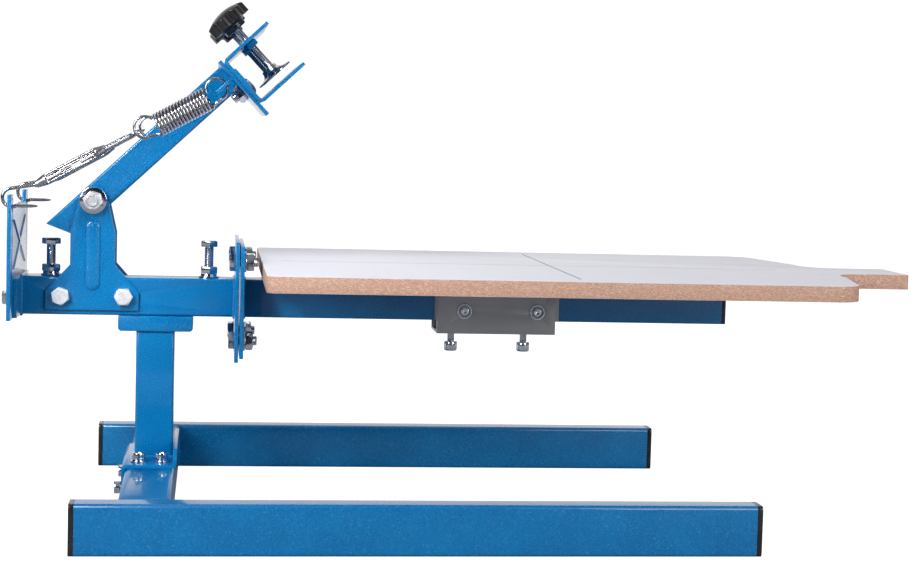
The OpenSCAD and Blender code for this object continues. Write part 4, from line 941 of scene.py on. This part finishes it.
clamp = {"u": 228, "y": 76, "low": -24.9, "high": 41.7, "knob": 30, "foot": -30,
         "turn": 0.35, "sideTurn": 0.2,
         "cup": [(0, 0), (17.9, 0), (18.5, 0.5), (18.5, 1.5), (17.6, 2.1), (13.2, 2.7), (9.6, 3.7),
                 (7.4, 5.4), (6.2, 7.8), (5.9, 10.3), (5.5, 10.8), (4.3, 10.8), (4.3, 9.6)]}
knob = {"lobes": 6, "reach": 23, "core": 18, "lobe": 8, "high": 23.5, "skirt": 7, "dome": 47.1,
        "hub": [(0, 0), (11, 0), (12, 1), (12, 5), (14, 6.6), (14, 10), (0, 10)],
        "voxel": 0.45, "rounds": 5}


def knobPiece():  # lobed skirt under one smooth dome, hub below
    tall = knob["high"] - knob["skirt"]
    middle = (knob["high"] + knob["skirt"]) / 2 * mm
    body = cylinderAt(64, knob["core"] * mm, tall * mm, (0, 0, middle))
    reach = (knob["reach"] - knob["lobe"]) * mm
    for index in range(knob["lobes"]):
        angle = 2 * math.pi * index / knob["lobes"]
        cutBy(body, cylinderAt(32, knob["lobe"] * mm, tall * mm,
                               (reach * math.cos(angle), reach * math.sin(angle), middle)), "UNION")
    deselectAll()
    bpy.ops.mesh.primitive_uv_sphere_add(segments=64, ring_count=32, radius=knob["dome"] * mm,
                                         location=(0, 0, (knob["high"] - knob["dome"]) * mm))
    cutBy(body, bpy.context.object, "INTERSECT")
    cutBy(body, lathed(knob["hub"], "hub", 48), "UNION")
    return melted(body, knob["voxel"] * mm, knob["rounds"])


def onClamp(piece, side, v, turn=0.0):
    return put(piece, onArm(clamp["u"], side * clamp["y"], v), armUp, turn)


for word, side in (("near", -1), ("far", 1)):
    length = (clamp["high"] - clamp["low"]) * mm
    stem = threadedRod(sizes["m8"]["radius"] * mm, length, sizes["m8"]["pitch"] * mm)
    standFor(onClamp(stem, side, clamp["low"]), wireSteel, "clamp_screw_" + word)
    grip = onClamp(knobPiece(), side, clamp["knob"], clamp["turn"] + clamp["sideTurn"] * side)
    standFor(grip, blackPlastic, "clamp_knob_" + word)
    cup = onClamp(lathed(clamp["cup"], "foot"), side, clamp["foot"])  # thin cup on a slender neck
    standFor(cup, wireSteel, "clamp_foot_" + word)
print("clamp screws made")


# Carriage bolts of the channel, screws of the clip and of the bracket

carriageHead = [(0, 4), (4, 3.75), (7.5, 2.8), (9.4, 1.2), (10, 0.2), (9.8, 0), (0, 0)]
knurl = {"count": 36, "radius": 0.42, "tall": 8.4, "reach": 6.58, "middle": 4.7}
raisedRing = [(6.4, 0.1), (6.4, 1.9), (6.9, 2.5), (7.6, 2.5), (8.25, 1.9), (8.25, 0)]
clip = {"x": {"rear": 315.0, "front": 394.0}, "z": 179.3,
        "sideX": (326, 404.5), "sideY": 26.3, "sideZ": 214.2}


def carriageBolt(length):
    head = lathed(carriageHead, "head", 48)
    return joined([head, shank("m10", length)], "bolt")


def knurledScrew(length):
    screw = capScrew("knurled", length)
    reach = knurl["reach"] * mm
    ridges = []
    for index in range(knurl["count"]):
        angle = 2 * math.pi * index / knurl["count"]
        deselectAll()
        bpy.ops.mesh.primitive_cylinder_add(
            vertices=4, radius=knurl["radius"] * mm, depth=knurl["tall"] * mm, rotation=(0, 0, angle),
            location=(reach * math.cos(angle), reach * math.sin(angle), knurl["middle"] * mm))
        ridges.append(bpy.context.object)
    return joined([screw] + ridges, "screw")


def recessedScrew(length):  # a raised ring round a small socket head
    rim = lathed(raisedRing, "rim", 56)
    return joined([rim, capScrew("small", length)], "screw")


def sideSpots(way):
    return [at(x, way * clip["sideY"], clip["sideZ"]) for x in clip["sideX"]]


scatter(carriageBolt(lengths["channel"]),
        [onArm(channel["boltU"], y, channel["v"]) for y in channel["y"]], armOut,
        "channelBolts", zincPlate, "channel_bolts")
for word in ("rear", "front"):
    scatter(knurledScrew(lengths["clip"]), [at(clip["x"][word], 0, clip["z"])], (0, 0, -1),
            word + "ClipScrew", zincPlate, "clip_screw_" + word)
scatter(recessedScrew(lengths["side"]), sideSpots(1), (0, 1, 0), "sideScrewsFar", zincPlate,
        "bracket_side_screws")
scatterExtra(recessedScrew(lengths["side"]), sideSpots(-1), (0, -1, 0), "sideScrewsNear", "pallet")
print("clip screws made")


# Pallet board: laminate on both faces, chip core at the edges

def palletPiece():
    piece = solidOf("pallet_board", "palletBoard")
    softEdges(piece, board["edge"] * mm, over=50)
    coated(piece, core, laminate)
    top, bottom, skin = board["top"] * mm, board["bottom"] * mm, board["skin"] * mm
    for face in piece.data.polygons:
        height = face.center.z
        if abs(face.normal.z) > board["tilt"] or height > top - skin or height < bottom + skin:
            face.material_index = 1
    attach(piece, "pallet")
    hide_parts("pallet_board")


palletPiece()
print("pallet made")


# Weld beads, in mm

weld = {"bead": 2.0, "topBead": 1.6, "gap": 1.5, "voxel": 0.55, "rounds": 2, "half": 20,
        "crossY": 234.6, "crossX": (-27.3, 22.3), "crossZ": (3, 47), "topX": (-25, 20), "topZ": 49.2,
        "postZ": (54.4, 200.1), "beamZ": 223.5, "beamX": (81.6, -138.7), "palletX": 91.7}


def beadRun(start, end, size=weld["bead"]):  # overlapping ripples from start to end
    a, b = Vector(start) * mm, Vector(end) * mm
    count = max(2, int((b - a).length / (weld["gap"] * mm)))
    deselectAll()
    bpy.ops.mesh.primitive_ico_sphere_add(subdivisions=2, radius=size * mm, location=a)
    seed = bpy.context.object
    settle(seed)
    modified(seed, "ARRAY", count=count + 1, use_relative_offset=False, use_constant_offset=True,
             constant_offset_displace=(b - a) / count)
    bpy.ops.object.shade_smooth()
    return seed


def boxRun(x, y, z, plane):  # four beads round a tube's end; plane names the axis across it
    half = weld["half"]
    ring = [(-half, -half), (half, -half), (half, half), (-half, half)]
    corners = [(x, y + a, z + b) if plane == "x" else (x + a, y + b, z) for a, b in ring]
    return [beadRun(corners[i], corners[(i + 1) % 4]) for i in range(4)]


def weldGroup(runs, body, name):
    piece = melted(joined(runs, name), weld["voxel"] * mm, weld["rounds"])
    coated(piece, bluePaint)
    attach(piece, body)


def addWelds():
    frameRuns = []
    low, high = weld["crossZ"]
    rear, front = weld["topX"]
    for side in (-1, 1):
        y = side * weld["crossY"]
        for x in weld["crossX"]:
            frameRuns.append(beadRun((x, y, low), (x, y, high)))
        frameRuns.append(beadRun((rear, y, weld["topZ"]), (front, y, weld["topZ"]), weld["topBead"]))
    for z in weld["postZ"]:
        frameRuns += boxRun(0, 0, z, "z")
    for x in weld["beamX"]:
        frameRuns += boxRun(x, 0, weld["beamZ"], "x")
    weldGroup(frameRuns, "frame", "frameWelds")
    weldGroup(boxRun(weld["palletX"], 0, weld["beamZ"], "x"), "frame", "palletArmWelds")


addWelds()
print("welds made")
